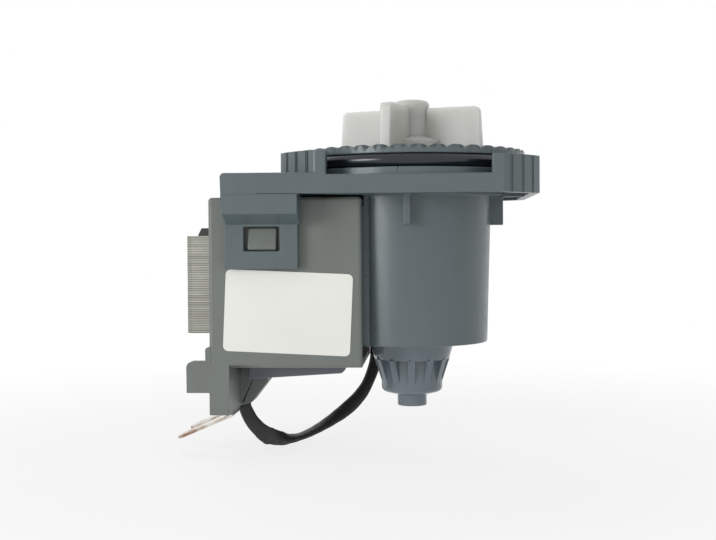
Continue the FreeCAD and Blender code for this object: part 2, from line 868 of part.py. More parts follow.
def flange_shroud_lips(body):
    """Two narrow walls from the shroud's flat to the housing, with tongues that reach inside it."""
    foot = s.shroud_radius - (s.shroud_depth - s.flange_thick) * tangent(s.shroud_draft)
    outer_y = root(foot * foot - s.shroud_cut_x * s.shroud_cut_x) - s.shroud_lip_setback
    lip = add_sketch(body, "shroud_lips", "XY", plate_under)
    left, right = -s.shroud_cut_x - s.shroud_lip_reach, -s.shroud_cut_x + s.sunk
    thick = s.shroud_wall / 2
    draw_box(lip, left, right, -outer_y, -outer_y + thick)
    draw_box(lip, left, right, outer_y - thick, outer_y)
    add_pad(body, lip, s.shroud_depth - s.flange_thick, reverse=True)
    doc.recompute()
    start = s.housing_top + s.housing_wall + s.seat_gap
    tongue = add_sketch(body, "shroud_tongues", "XY", -start)
    draw_box(tongue, left - s.shroud_tongue_reach, left + s.sunk, -outer_y, -outer_y + thick)
    draw_box(tongue, left - s.shroud_tongue_reach, left + s.sunk, outer_y - thick, outer_y)
    add_pad(body, tongue, s.shroud_depth - start, reverse=True)


def make_front_flange():
    body = add_body("front_flange")
    flange_posts(body)
    flange_spigot(body)
    flange_open_underside(body)
    flange_teeth(body)
    flange_pockets(body)
    flange_gussets(body)
    flange_shroud_lips(body)
    flange_arms(body)
    add_round(
        body,
        s.arm_corner_radius,
        lambda middle: near(middle.x, -s.arm_left_x) and near(middle.z, s.arm_rise),
    )
    return body


# Seals and can


def make_sump_o_ring():
    height = s.lip_height + s.ring_side_gap + s.ring_section / 2
    return add_torus(
        "sump_o_ring", s.ring_outer_radius - s.ring_section / 2, s.ring_section / 2, height
    )


def make_rotor_can():
    """Thin tube round the rotor, with a ribbed end that holds the rear bearing."""
    bearing_floor = rear_bush_bottom - s.assembly_gap
    relief = s.shaft_radius + s.shaft_relief
    body = turned_piece(
        "rotor_can",
        [
            (s.can_radius, s.dish_floor),
            (s.can_radius, -s.can_taper_depth),
            (s.can_end_radius, -s.can_end_depth),
            (s.fin_top_radius, -s.fin_top_depth),
            (s.can_core_radius, -s.fin_top_depth),
            (s.can_core_radius, -s.can_floor_depth),
            (s.nub_radius, -s.nub_top_depth),
            (s.nub_radius, -s.nub_depth),
            (0, -s.nub_depth),
            (0, shaft_bottom - s.assembly_gap),
            (relief, shaft_bottom - s.assembly_gap),
            (relief, bearing_floor),
            (bush_seat, bearing_floor),
            (bush_seat, can_step),
            (can_bore, can_step),
            (can_bore, collar_top - s.carrier_flange_thick),
            (s.carrier_flange_radius + s.assembly_gap, collar_top - s.carrier_flange_thick),
            (s.carrier_flange_radius + s.assembly_gap, collar_top),
            (s.can_collar_radius, collar_top),
            (s.can_collar_radius, s.dish_floor),
        ],
    )
    fin = add_sketch(body, "fin", "XZ")
    draw_outline(
        fin,
        [
            (s.can_core_radius - s.sunk, -s.fin_top_depth),
            (s.fin_top_radius, -s.fin_top_depth),
            (s.can_core_radius - s.assembly_gap, -s.fin_foot_depth),
            (s.can_core_radius - s.sunk, -s.fin_foot_depth),
        ],
    )
    fin_pad = add_pad(body, fin, s.fin_thick, middle=True)
    add_round_copies(body, fin_pad, s.fin_count)
    add_round(
        body,
        s.can_floor_round,
        lambda middle: near(middle.z, -s.can_floor_depth)
        and near(math.hypot(middle.x, middle.y), s.can_core_radius),
    )
    return body


def make_bearing_carrier():
    """Plug in the can's mouth: front bearing below its web, shaft seal above it."""
    outer = can_bore - s.carrier_slip_gap
    groove = can_bore - s.carrier_ring_section - 2 * s.assembly_gap
    groove_high = -s.carrier_ring_depth + s.carrier_ring_section / 2 + s.assembly_gap
    groove_low = -s.carrier_ring_depth - s.carrier_ring_section / 2 - s.assembly_gap
    return turned_piece(
        "bearing_carrier",
        [
            (bush_seat, -s.carrier_bottom),
            (outer, -s.carrier_bottom),
            (outer, groove_low),
            (groove, groove_low),
            (groove, groove_high),
            (outer, groove_high),
            (outer, carrier_shoulder),
            (s.carrier_flange_radius, carrier_shoulder),
            (s.carrier_flange_radius, collar_top),
            (s.seal_pocket_radius, collar_top),
            (s.seal_pocket_radius, carrier_web_top),
            (s.carrier_web_hole_radius, carrier_web_top),
            (s.carrier_web_hole_radius, front_bush_top),
            (bush_seat, front_bush_top),
        ],
    )


def make_carrier_o_ring():
    section = s.carrier_ring_section / 2
    return add_torus(
        "carrier_o_ring", can_bore - s.assembly_gap - section, section, -s.carrier_ring_depth
    )


def make_shaft_seal():
    """Rubber cup whose lip runs on the shaft."""
    outer = s.seal_pocket_radius - s.assembly_gap
    inner = s.shaft_radius + s.running_gap
    bottom = carrier_web_top + s.assembly_gap
    return turned_piece(
        "shaft_seal",
        [
            (inner, bottom),
            (outer, bottom),
            (outer, bottom + s.seal_height),
            (outer - s.seal_wall, bottom + s.seal_height),
            (outer - s.seal_wall, bottom + s.seal_lip_thick),
            (inner + s.seal_lip_thick, bottom + s.seal_lip_thick),
            (inner + s.seal_lip_thick / 2, bottom + 2 * s.seal_lip_thick),
            (inner, bottom + 2 * s.seal_lip_thick),
        ],
    )


# Bearings: the bushes sit next to the washers that the rotor runs between


def make_bushes():
    """Bearing bushes, each held in a rubber ring."""
    rubber_inner = s.bush_radius + s.assembly_gap
    rubber_outer = s.bush_radius + s.bush_rubber_thick
    inset = s.bush_rubber_inset
    pieces = []
    for name, bottom, top in (
        ("front", front_bush_bottom, front_bush_top - s.assembly_gap),
        ("rear", rear_bush_bottom, rear_bush_top),
    ):
        pieces.append(add_ring(f"{name}_bearing", bush_bore, s.bush_radius, bottom, top))
        rubber = add_ring(
            f"{name}_bearing_rubber", rubber_inner, rubber_outer, bottom + inset, top - inset
        )
        pieces.append(rubber)
    return pieces


# Rotor


def make_rotor():
    """Shaft, magnet, its moulded core, end discs and thrust washers."""
    magnet_radius = can_bore - s.air_gap
    on_shaft = s.shaft_radius + s.fit_gap
    on_core = s.rotor_core_radius + s.fit_gap
    disc_radius = magnet_radius - s.end_disc_inset
    shaft = turned_piece(
        "rotor_shaft",
        [
            (0, shaft_bottom),
            (s.shaft_radius - s.shaft_chamfer, shaft_bottom),
            (s.shaft_radius, shaft_bottom + s.shaft_chamfer),
            (s.shaft_radius, s.shaft_top - s.shaft_chamfer),
            (s.shaft_radius - s.shaft_chamfer, s.shaft_top),
            (0, s.shaft_top),
        ],
    )
    magnet = add_ring("rotor_magnet", on_core, magnet_radius, magnet_bottom, magnet_top)
    core = add_ring(
        "rotor_core", on_shaft, s.rotor_core_radius, core_hub_bottom, core_hub_top
    )
    discs = add_group(
        "magnet_end_discs",
        [
            add_ring(
                "upper_end_disc",
                on_core,
                disc_radius,
                magnet_top + s.fit_gap,
                magnet_top + s.end_disc_thick,
            ),
            add_ring(
                "lower_end_disc",
                on_core,
                disc_radius,
                magnet_bottom - s.end_disc_thick,
                magnet_bottom - s.fit_gap,
            ),
        ],
    )
    washers = add_group(
        "thrust_washers",
        [
            add_ring(
                "upper_washer",
                on_shaft,
                s.washer_radius,
                core_hub_top + s.fit_gap,
                core_hub_top + s.washer_thick,
            ),
            add_ring(
                "lower_washer",
                on_shaft,
                s.washer_radius,
                core_hub_bottom - s.washer_thick,
                core_hub_bottom - s.fit_gap,
            ),
        ],
    )
    return [shaft, magnet, core, discs, washers]


# Impeller, its lost-motion drive and the dampers


def make_drive_dog():
    """Hub pressed on the shaft, with one sector that pushes the impeller round."""
    height = dog_top - dog_bottom
    hub = add_cylinder("dog_hub", s.dog_hub_radius, height, (0, 0, dog_bottom))
    sector = add_sector(
        "dog_sector",
        s.shaft_radius + s.sunk,
        cup_bore - s.dog_side_gap,
        dog_bottom,
        height,
        ZERO,
        s.dog_span,
    )
    whole = add_fuse("dog_blank", [hub, sector])
    tall = height + 2 * s.cut_over
    place = (0, 0, dog_bottom - s.cut_over)
    bore = add_cylinder("dog_bore", s.shaft_radius + s.fit_gap, tall, place)
    return turn_to_impeller(add_cut("drive_dog", whole, bore))


def make_impeller():
    """Four straight blades on a hub, over a cup that hides the dog."""
    body = turned_piece(
        "impeller_blank",
        [
            (0, s.cup_bottom),
            (s.cup_radius, s.cup_bottom),
            (s.cup_radius, s.cup_ceiling + s.cup_roof),
            (s.hub_radius, s.cup_ceiling + 2 * s.cup_roof),
            (s.hub_radius, s.hub_top),
            (0, s.hub_top),
        ],
    )
    add_round(body, s.hub_dome_round, lambda middle: near(middle.z, s.hub_top))
    blade = add_sketch(body, "blade", "XZ")
    draw_outline(
        blade,
        [
            (s.hub_radius / 2, s.blade_bottom),
            (s.blade_radius, s.blade_bottom),
            (s.blade_top_radius, s.blade_top),
            (s.hub_radius / 2, s.blade_top),
        ],
    )
    blade_pad = add_pad(body, blade, s.blade_thick, middle=True)
    add_round_copies(body, blade_pad, s.blade_count)
    add_round(
        body,
        s.blade_corner,
        lambda middle: near(middle.z, s.blade_top)
        and near(math.hypot(middle.x, middle.y), s.blade_top_radius),
    )
    bores = add_sketch(body, "bores", "XZ")
    draw_outline(
        bores,
        [
            (0, s.cup_bottom - s.cut_over),
            (cup_bore, s.cup_bottom - s.cut_over),
            (cup_bore, s.cup_ceiling),
            (bush_bore, s.cup_ceiling),
            (bush_bore, s.hub_bore_end),
            (0, s.hub_bore_end),
        ],
    )
    add_turned(body, bores, cut=True)
    stop = add_sector(
        "impeller_stop",
        s.dog_hub_radius + s.dog_side_gap,
        cup_bore + s.stop_sunk,
        s.cup_bottom + s.hub_cap_thick + s.assembly_gap,
        s.cup_ceiling - s.cup_bottom - s.hub_cap_thick - s.assembly_gap + s.stop_sunk,
        -s.stop_play - s.damper_span - s.stop_span,
        s.stop_span,
    )
    return turn_to_impeller(add_fuse("impeller", [body, stop]))


def make_impeller_dampers():
    """A rubber pad on each face of the stop."""
    pads = []
    for name, start in (
        ("near", -s.stop_play - s.damper_span),
        ("far", -s.stop_play - 2 * s.damper_span - s.stop_span),
    ):
        pad = add_sector(
            f"{name}_damper",
            s.dog_hub_radius + s.dog_side_gap,
            cup_bore - s.assembly_gap,
            dog_bottom,
            dog_top - dog_bottom,
            start,
            s.damper_span,
        )
        pads.append(pad)
    return turn_to_impeller(add_group("impeller_dampers", pads))


def make_impeller_hub_cap():
    """Disc that closes the cup and keeps the dog in it."""
    return add_ring(
        "impeller_hub_cap",
        s.shaft_radius + s.cap_hole_gap,
        cup_bore - s.assembly_gap,
        s.cup_bottom,
        s.cup_bottom + s.hub_cap_thick,
    )


# Stator


def make_stator_core():
    """U-shaped lamination stack: a yoke outside the housing, and two legs to the rotor."""
    body = add_body("stator_core")
    plan = add_sketch(body, "plan", "XY", -s.core_top)
    left, right = -s.core_left_x, s.core_right_x
    crook = left + s.core_yoke_wide
    outer, inner = s.core_half_y, s.core_leg_inner_y
    draw_outline(
        plan,
        [
            (left, -outer),
            (right, -outer),
            (right, -inner),
            (crook, -inner),
            (crook, inner),
            (right, inner),
            (right, outer),
            (left, outer),
        ],
    )
    add_pad(body, plan, s.core_stack, reverse=True)
    bore = add_sketch(body, "bore", "XY", -s.core_top)
    draw_circle(bore, 0, 0, stator_bore)
    add_pocket(body, bore, s.core_stack)
    add_round(
        body,
        s.core_chamfer,
        lambda middle: near(middle.x, left)
        and near(abs(middle.y), outer)
        and near(middle.z, core_middle_z),
        kind="Chamfer",
    )
    return body


def make_front_bobbin():
    """Tube round one leg, with a flange at each end."""
    body = add_body("front_bobbin")
    gap = s.bobbin_core_gap
    half_leg = leg_wide / 2 + gap
    half_stack = s.core_stack / 2 + gap
    wall = s.bobbin_tube_wall
    reach = s.bobbin_flange_reach
    length = s.bobbin_left_x - s.bobbin_right_x

    def draw_ring(sketch, y_low, y_high, z_low, z_high):
        draw_box(sketch, y_low, y_high, z_low, z_high)
        draw_box(
            sketch,
            -leg_middle_y - half_leg,
            -leg_middle_y + half_leg,
            core_middle_z - half_stack,
            core_middle_z + half_stack,
        )

    tube = add_sketch(body, "tube", "YZ", -s.bobbin_left_x)
    draw_ring(
        tube,
        -leg_middle_y - half_leg - wall,
        -leg_middle_y + half_leg + wall,
        core_middle_z - half_stack - wall,
        core_middle_z + half_stack + wall,
    )
    add_pad(body, tube, length)
    for name, start in (
        ("left_flange", -s.bobbin_left_x),
        ("right_flange", -s.bobbin_right_x - s.bobbin_flange_thick),
    ):
        flange = add_sketch(body, name, "YZ", start)
        draw_ring(
            flange,
            -leg_middle_y - half_leg - wall - reach,
            -s.bobbin_inner_y,
            core_middle_z - half_stack - wall - reach,
            core_middle_z + half_stack + wall + reach,
        )
        add_pad(body, flange, s.bobbin_flange_thick)
    return body


def make_front_winding():
    """The turns as one rounded block round the bobbin's tube."""
    inset = s.bobbin_core_gap + s.bobbin_tube_wall + s.winding_gap
    return ring_round_leg(
        "front_winding", inset, s.winding_thick, s.winding_inner_round, s.winding_outer_round
    )


def make_front_tape():
    """Insulating tape over the turns."""
    inset = s.bobbin_core_gap + s.bobbin_tube_wall + s.winding_thick + 2 * s.winding_gap
    inner_round = s.winding_outer_round + s.winding_gap
    return ring_round_leg(
        "front_coil_tape", inset, s.tape_thick, inner_round, inner_round + s.tape_thick
    )


def ring_round_leg(label, inset, thick, inner_round, outer_round):
    """A rectangular ring between the bobbin's flanges, so far off the leg and so thick."""
    body = add_body(label)
    left = -s.bobbin_left_x + s.bobbin_flange_thick + s.winding_gap
    right = -s.bobbin_right_x - s.bobbin_flange_thick - s.winding_gap
    half_y = leg_wide / 2 + inset
    half_z = s.core_stack / 2 + inset
    middle_x = (left.number + right.number) / 2
    block = add_sketch(body, "block", "YZ", left)
    draw_box(
        block,
        -leg_middle_y - half_y - thick,
        -leg_middle_y + half_y + thick,
        core_middle_z - half_z - thick,
        core_middle_z + half_z + thick,
    )
    add_pad(body, block, right - left)
    hole = add_sketch(body, "hole", "YZ", left)
    draw_box(
        hole,
        -leg_middle_y - half_y,
        -leg_middle_y + half_y,
        core_middle_z - half_z,
        core_middle_z + half_z,
    )
    add_pocket(body, hole, right - left, reverse=True)
    for reach, radius in ((0, inner_round), (thick, outer_round)):
        corner_y, corner_z = half_y + reach, half_z + reach
        add_round(
            body,
            radius,
            lambda middle: near(middle.x, middle_x)
            and near(abs(middle.y + leg_middle_y.number), corner_y)
            and near(abs(middle.z - core_middle_z.number), corner_z),
        )
    return body


def make_rear_bobbin(front):
    """The front bobbin's mirror image, with a seat for the end of the lead sleeve."""
    copy = add_copy_across("rear_bobbin_blank", front)
    seat = doc.addObject("Part::Box", "sleeve_seat")
    seat.setExpression("Length", (s.bobbin_right_x + s.sunk - s.sleeve_seat_x).text)
    seat.setExpression("Width", (2 * s.sleeve_seat_half).text)
    seat.setExpression("Height", s.sleeve_seat_thick.text)
    seat.setExpression("Placement.Base.x", (-s.bobbin_right_x - s.sunk).text)
    seat.setExpression("Placement.Base.y", (s.sleeve_seat_y - s.sleeve_seat_half).text)
    seat.setExpression("Placement.Base.z", (-s.sleeve_seat_depth).text)
    return add_fuse("rear_bobbin", [copy, seat])


# Coil housing with its terminal block


def housing_shell(body):
    """A box that is open towards the rotor, with a window for the yoke."""
    left, right = -s.housing_left_x, -housing_right_x
    wide = s.housing_left_x - housing_right_x
    half, wall = s.housing_half_y, s.housing_wall
    outside = add_sketch(body, "outside", "YZ", left)
    draw_box(outside, -half, half, -s.housing_bottom, -s.housing_top)
    add_pad(body, outside, wide)
    doc.recompute()
    add_round(
        body,
        s.housing_edge_round,
        lambda middle: near(abs(middle.y), half) or near(middle.z, -s.housing_top),
    )
    inside = add_sketch(body, "inside", "YZ", right)
    draw_box(inside, -half + wall, half - wall, -s.housing_bottom + wall, -s.housing_top - wall)
    add_pocket(body, inside, wide - wall)
    gap = s.core_window_gap
    window = add_sketch(body, "core_window", "YZ", left)
    draw_box(
        window,
        -s.core_half_y - gap,
        s.core_half_y + gap,
        core_bottom - gap,
        -s.core_top + s.wedge_height + gap / 2,
    )
    add_pocket(body, window, wall + s.cut_over, reverse=True)


def housing_catches(body):
    """A ramped catch that fills each clip's window."""
    face, sunk = -s.housing_half_y, -s.housing_half_y + s.sunk
    left, right = s.window_left_x - s.catch_side_gap, s.window_right_x + s.catch_side_gap
    top, foot = -s.window_top - s.catch_top_gap, -s.window_bottom + s.catch_foot_gap
    catch = add_sketch(body, "catch", "YZ", -left)
    draw_outline(
        catch,
        [
            (sunk, top),
            (face - s.catch_top_reach, top),
            (face - s.catch_reach, foot + s.catch_edge),
            (face - s.catch_reach, foot),
            (sunk, foot),
        ],
    )
    pad = add_pad(body, catch, left - right)
    add_mirror(body, [pad], "XZ")
    doc.recompute()


def housing_block(body):
    """Terminal block under the left edge, with its bosses and the lead duct."""
    half, left, right = s.housing_half_y, -s.housing_left_x, -block_right_x
    floor = -s.housing_bottom + s.sunk
    block = add_sketch(body, "block", "YZ", left)
    draw_outline(
        block,
        [
            (-half, floor + s.sunk),
            (-half, -s.block_bottom),
            (s.block_corner_y, -s.block_bottom),
            (half, -s.block_bottom + s.block_corner_rise),
            (half, floor + s.sunk),
        ],
    )
    add_pad(body, block, s.block_wide)
    boss = add_sketch(body, "boss", "XY", -s.block_bottom + s.block_floor)
    for low, high in (
        (-s.block_boss_half_y, -s.duct_half_y),
        (s.duct_half_y, s.block_boss_half_y),
    ):
        draw_box(boss, left + s.sunk, right - s.sunk, low, high)
    add_pad(body, boss, s.block_floor + s.block_boss_depth, reverse=True)
    duct = add_sketch(body, "duct", "XZ")
    slope = tangent(s.duct_tilt)
    duct_left, duct_right = right - s.block_floor, right + s.duct_wide
    draw_outline(
        duct,
        [
            (duct_left, -s.duct_foot_depth + (duct_left + s.duct_foot_x) * slope),
            (duct_right, -s.duct_foot_depth + (duct_right + s.duct_foot_x) * slope),
            (-s.strut_right_x, -s.strut_top),
            (-s.strut_right_x, floor),
            (right - s.sunk, floor),
            (right - s.sunk, -s.block_bottom + s.cut_over),
            (duct_left, -s.block_bottom + s.cut_over),
        ],
    )
    add_pad(body, duct, 2 * s.duct_half_y, middle=True)
    doc.recompute()


def housing_guards(body):
    """A rounded shoulder over the block, and a guard that stands out at each end."""
    left, half = -s.housing_left_x, s.housing_half_y
    edge = left - s.shoulder_wide
    shoulder = add_sketch(body, "shoulder", "XZ")
    draw_box(shoulder, edge, left + s.sunk, -s.guard_top - s.sunk, -s.shoulder_top)
    add_pad(body, shoulder, 2 * half, middle=True)
    add_round(
        body,
        s.shoulder_round,
        lambda middle: near(middle.x, edge) and near(middle.z, -s.shoulder_top),
    )
    guard = add_sketch(body, "guard", "XZ", half - s.guard_thick)
    draw_box(guard, -s.guard_left_x, left + s.sunk, -s.guard_bottom, -s.guard_top)
    pad = add_pad(body, guard, s.guard_thick)
    add_mirror(body, [pad], "XZ")
    add_round(
        body,
        s.guard_round,
        lambda middle: near(middle.x, -s.guard_left_x) and near(middle.z, -s.guard_top),
    )


def housing_openings(body):
    """Lead channel, the block's hollow, a slot for each tab, and a round notch for the can."""
    inner_floor = -s.housing_bottom + s.housing_wall
    hollow_bottom = -s.block_bottom + s.block_floor
    hollow = add_sketch(body, "block_hollow", "XY", inner_floor)
    draw_box(
        hollow,
        -s.housing_left_x + s.block_wall,
        -block_right_x - s.block_wall,
        -s.block_cavity_half_y,
        s.block_cavity_half_y,
    )
    add_pocket(body, hollow, inner_floor - hollow_bottom)
    slot = add_sketch(body, "tab_slots", "XY", hollow_bottom)
    half_wide, half_thick = s.tab_wide / 2 + s.tab_slot_gap, s.tab_thick / 2 + s.tab_slot_gap
    for side in (-1, 1):
        middle = side * s.tab_pitch_half
        draw_box(
            slot, -s.tab_x - half_thick, -s.tab_x + half_thick, middle - half_wide, middle + half_wide
        )
    add_pocket(body, slot, s.block_floor + s.block_boss_depth + s.sunk)
    channel = add_sketch(body, "lead_channel", "XY", inner_floor)
    inset = s.cover_wall + s.cut_over
    draw_box(
        channel,
        -s.cover_left_x + inset,
        -s.cover_right_x - inset - s.cover_chamfer,
        -s.cover_half_y + inset,
        s.cover_half_y - inset,
    )
    add_pocket(body, channel, s.housing_wall)
    notch = add_sketch(body, "can_notch", "XY", -s.housing_top)
    draw_circle(notch, 0, 0, can_hole)
    add_pocket(body, notch, s.housing_wall)


def make_coil_housing():
    body = add_body("coil_housing")
    housing_shell(body)
    housing_catches(body)
    housing_block(body)
    housing_guards(body)
    housing_openings(body)
    return body


def make_bottom_cover():
    """Shallow cover under the lead channel, deeper at its left end, where it clears the duct."""
    body = add_body("bottom_cover")
    half, top, wall = s.cover_half_y, -s.housing_bottom, s.cover_wall
    left, right = -s.cover_left_x, -s.cover_right_x
    foot = top - s.cover_depth
    profile = add_sketch(body, "profile", "XZ")
    draw_outline(
        profile,
        [
            (left, top),
            (right, top),
            (right, foot + s.cover_rise + s.cover_chamfer),
            (right - s.cover_chamfer, foot + s.cover_rise),
            (left, foot),
        ],
    )
    add_pad(body, profile, 2 * half, middle=True)
    inside = add_sketch(body, "inside", "XY", top)
    draw_box(inside, left + wall, right - wall - s.cover_chamfer, -half + wall, half - wall)
    add_pocket(body, inside, s.cover_depth - s.cover_rise - wall)
    notch = add_sketch(body, "duct_notch", "XY", top)
    side = s.duct_half_y + s.cover_notch_gap
    draw_box(notch, left - s.cut_over, -s.strut_right_x + s.cover_notch_gap, -side, side)
    add_pocket(body, notch, s.cover_depth + s.cut_over)
    return body


def make_core_wedges():
    """Wedges driven between the core and the top of its window."""
    front = add_body("front_wedge")
    profile = add_sketch(front, "profile", "XZ", s.wedge_inner_y)
    bottom, top = -s.core_top, -s.core_top + s.wedge_height
    draw_outline(
        profile,
        [
            (-s.wedge_left_x, bottom),
            (-s.wedge_right_x, bottom),
            (-s.wedge_right_x, top),
            (-s.wedge_left_x + s.wedge_taper, top),
        ],
    )
    add_pad(front, profile, s.core_half_y - s.wedge_inner_y)
    return add_group("core_wedges", [front, add_copy_across("rear_wedge", front)])


# Terminals and leads


def make_terminal_tabs():
    """Two bent blades: a leg held in the block, and a sloped blade that the plug meets."""
    blade = add_body("tab_blade")
    plan = add_sketch(blade, "plan", "XY")
    half, tip = s.tab_wide / 2, s.tab_tip_chamfer
    draw_outline(
        plan,
        [
            (-s.tab_slot_gap, -half),
            (s.tab_reach - tip, -half),
            (s.tab_reach, -half + tip),
            (s.tab_reach, half - tip),
            (s.tab_reach - tip, half),
            (-s.tab_slot_gap, half),
        ],
    )
    draw_circle(plan, s.tab_reach - s.tab_hole_from_tip, 0, s.tab_hole_radius)
    add_pad(blade, plan, s.tab_thick, middle=True)
    turn = FreeCAD.Rotation(Vector(0, 1, 0), 1)
    blade.Placement = FreeCAD.Placement(Vector(0, 0, 0), turn)
    blade.setExpression("Placement.Rotation.Angle", (180 - s.tab_slope).text)
    blade.setExpression("Placement.Base.x", (-s.tab_x).text)
    blade.setExpression("Placement.Base.y", (-s.tab_pitch_half).text)
    blade.setExpression("Placement.Base.z", (-s.tab_bend_depth).text)
    leg = doc.addObject("Part::Box", "tab_leg")
    leg.setExpression("Length", s.tab_thick.text)
    leg.setExpression("Width", s.tab_wide.text)
    leg.setExpression("Height", (s.tab_bend_depth + s.tab_bend_run - s.tab_top_depth).text)
    leg.setExpression("Placement.Base.x", (-s.tab_x - s.tab_thick / 2).text)
    leg.setExpression("Placement.Base.y", (-s.tab_pitch_half - half).text)
    leg.setExpression("Placement.Base.z", (-s.tab_bend_depth - s.tab_bend_run).text)
    front = add_fuse("front_tab", [leg, blade])
    return add_group("terminal_tabs", [front, add_copy_across("rear_tab", front)])


def make_winding_leads():
    """A wire from under each winding down to its tab."""
    x = -s.tab_x - s.tab_thick / 2 - s.lead_radius - s.fit_gap
    y, depth = -s.tab_pitch_half, -s.lead_depth
    drop = add_cylinder("lead_drop", s.lead_radius, s.lead_foot_depth - s.lead_depth, (x, y, 0))
    drop.setExpression("Placement.Base.z", (-s.lead_foot_depth).text)
    run = add_cylinder("lead_run", s.lead_radius, -s.lead_right_x - x, (0, y, depth))
    turn = FreeCAD.Rotation(Vector(0, 1, 0), 90)
    run.Placement = FreeCAD.Placement(run.Placement.Base, turn)
    run.setExpression("Placement.Base.x", x.text)
    elbow = doc.addObject("Part::Sphere", "lead_elbow")
    elbow.setExpression("Radius", s.lead_radius.text)
    elbow.setExpression("Placement.Base.x", x.text)
    elbow.setExpression("Placement.Base.y", y.text)
    elbow.setExpression("Placement.Base.z", depth.text)
    front = add_fuse("front_lead", [drop, run, elbow])
    return add_group("winding_leads", [front, add_copy_across("rear_lead", front)])


def make_rating_label():
    """Blank label, stuck on a little out of level."""
    body = add_body("rating_label")
    plan = add_sketch(body, "plan", "XZ")
    half_wide, half_high = s.label_wide / 2, s.label_high / 2
    draw_box(plan, -half_wide, half_wide, -half_high, half_high)
    add_pad(body, plan, s.label_thick)
    add_round(
        body,
        s.label_round,
        lambda middle: near(abs(middle.x), half_wide) and near(abs(middle.z), half_high),
    )
    turn = FreeCAD.Rotation(Vector(0, 1, 0), 1)
    body.Placement = FreeCAD.Placement(Vector(0, 0, 0), turn)
    body.setExpression("Placement.Rotation.Angle", s.label_tilt.text)
    body.setExpression("Placement.Base.x", (-s.label_middle_x).text)
    body.setExpression("Placement.Base.y", (-s.housing_half_y).text)
    body.setExpression("Placement.Base.z", (-s.label_middle_depth).text)
    return body


def make_lead_sleeve():
    """Sleeve along straight runs that are joined by tangent arcs."""
    points = [Vector(*point) for point in SLEEVE_ROUTE]
    edges = []
    start = points[0]
    for before, corner, after in zip(points, points[1:], points[2:]):
        back, ahead = before - corner, after - corner
        reach = 0.45 * min(back.Length, ahead.Length)
        back.normalize()
        ahead.normalize()
        arc_start, arc_end = corner + back * reach, corner + ahead * reach
        half_turn = (math.pi - back.getAngle(ahead)) / 2
        radius = reach / math.tan(half_turn)
        inward = back + ahead
        inward.normalize()
        arc_middle = corner + inward * (radius / math.cos(half_turn) - radius)
        edges.append(Part.LineSegment(start, arc_start).toShape())
        edges.append(Part.Arc(arc_start, arc_middle, arc_end).toShape())
        start = arc_end
        print("sleeve bend radius", round(radius, 2))
    edges.append(Part.LineSegment(start, points[-1]).toShape())
    wire = Part.Wire(edges)
    circle = Part.Circle(points[0], points[1] - points[0], s.sleeve_diameter.number / 2)
    section = Part.Wire([circle.toShape()])
    sleeve = doc.addObject("Part::Feature", "lead_sleeve")
    sleeve.Label = "lead_sleeve"
    sleeve.Shape = wire.makePipeShell([section], True, False)
    sleeve.Placement = FreeCAD.Placement(Vector(0, 0, 0), FreeCAD.Rotation())
    area = math.pi * (s.sleeve_diameter.number / 2) ** 2
    print("sleeve volume", sleeve.Shape.Volume, "section times length", area * wire.Length)
    return sleeve


# Build every piece

front_bobbin = make_front_bobbin()
front_winding = make_front_winding()
front_tape = make_front_tape()
nodes = [
    make_front_flange(),
    make_sump_o_ring(),
    make_rotor_can(),
    make_bearing_carrier(),
    make_carrier_o_ring(),
    make_shaft_seal(),
    *make_bushes(),
    *make_rotor(),
    make_drive_dog(),
    make_impeller(),
    make_impeller_dampers(),
    make_impeller_hub_cap(),
    make_stator_core(),
    front_bobbin,
    make_rear_bobbin(front_bobbin),
    front_winding,
    add_copy_across("rear_winding", front_winding),
    add_group("coil_tapes", [front_tape, add_copy_across("rear_coil_tape", front_tape)]),
    make_coil_housing(),
    make_bottom_cover(),
    make_core_wedges(),
    make_terminal_tabs(),
    make_winding_leads(),
    make_rating_label(),
    make_lead_sleeve(),
]
doc.recompute()

for item in doc.Objects:
    if "Invalid" in item.State or "Error" in item.State:
        raise ValueError(f"{item.Label} failed: {item.State}")

os.makedirs("parts", exist_ok=True)
for node in nodes:
    shape = node.Shape
    if shape.isNull() or not shape.isValid() or not shape.Solids:
        raise ValueError(f"{node.Label} has no valid solid")
    shape.exportStep(f"parts/{node.Label}.step")
    print(node.Label, len(shape.Solids), round(shape.Volume, 1))
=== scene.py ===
import math

import bmesh
import bpy
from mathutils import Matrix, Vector


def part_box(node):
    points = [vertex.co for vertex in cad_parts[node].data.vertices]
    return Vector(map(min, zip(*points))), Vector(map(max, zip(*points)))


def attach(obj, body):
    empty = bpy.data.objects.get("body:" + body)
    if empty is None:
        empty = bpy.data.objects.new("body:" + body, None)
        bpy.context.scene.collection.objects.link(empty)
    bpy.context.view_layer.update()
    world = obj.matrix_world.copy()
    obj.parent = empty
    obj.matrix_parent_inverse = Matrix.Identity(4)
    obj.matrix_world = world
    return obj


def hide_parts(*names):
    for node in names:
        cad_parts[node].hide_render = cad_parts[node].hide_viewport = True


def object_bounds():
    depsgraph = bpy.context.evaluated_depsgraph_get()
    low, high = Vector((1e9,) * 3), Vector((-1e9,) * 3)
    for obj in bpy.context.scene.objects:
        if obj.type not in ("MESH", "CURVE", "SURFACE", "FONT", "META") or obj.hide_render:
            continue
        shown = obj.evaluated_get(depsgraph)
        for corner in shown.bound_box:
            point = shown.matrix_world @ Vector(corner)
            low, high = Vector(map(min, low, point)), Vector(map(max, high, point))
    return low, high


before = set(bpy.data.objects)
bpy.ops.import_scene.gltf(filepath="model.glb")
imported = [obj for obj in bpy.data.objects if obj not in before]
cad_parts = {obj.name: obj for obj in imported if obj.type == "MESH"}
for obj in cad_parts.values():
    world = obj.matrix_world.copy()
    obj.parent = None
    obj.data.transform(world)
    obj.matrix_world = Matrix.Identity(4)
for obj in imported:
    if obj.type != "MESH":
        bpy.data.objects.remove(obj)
cad_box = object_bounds()
MM = 0.001


# Camera

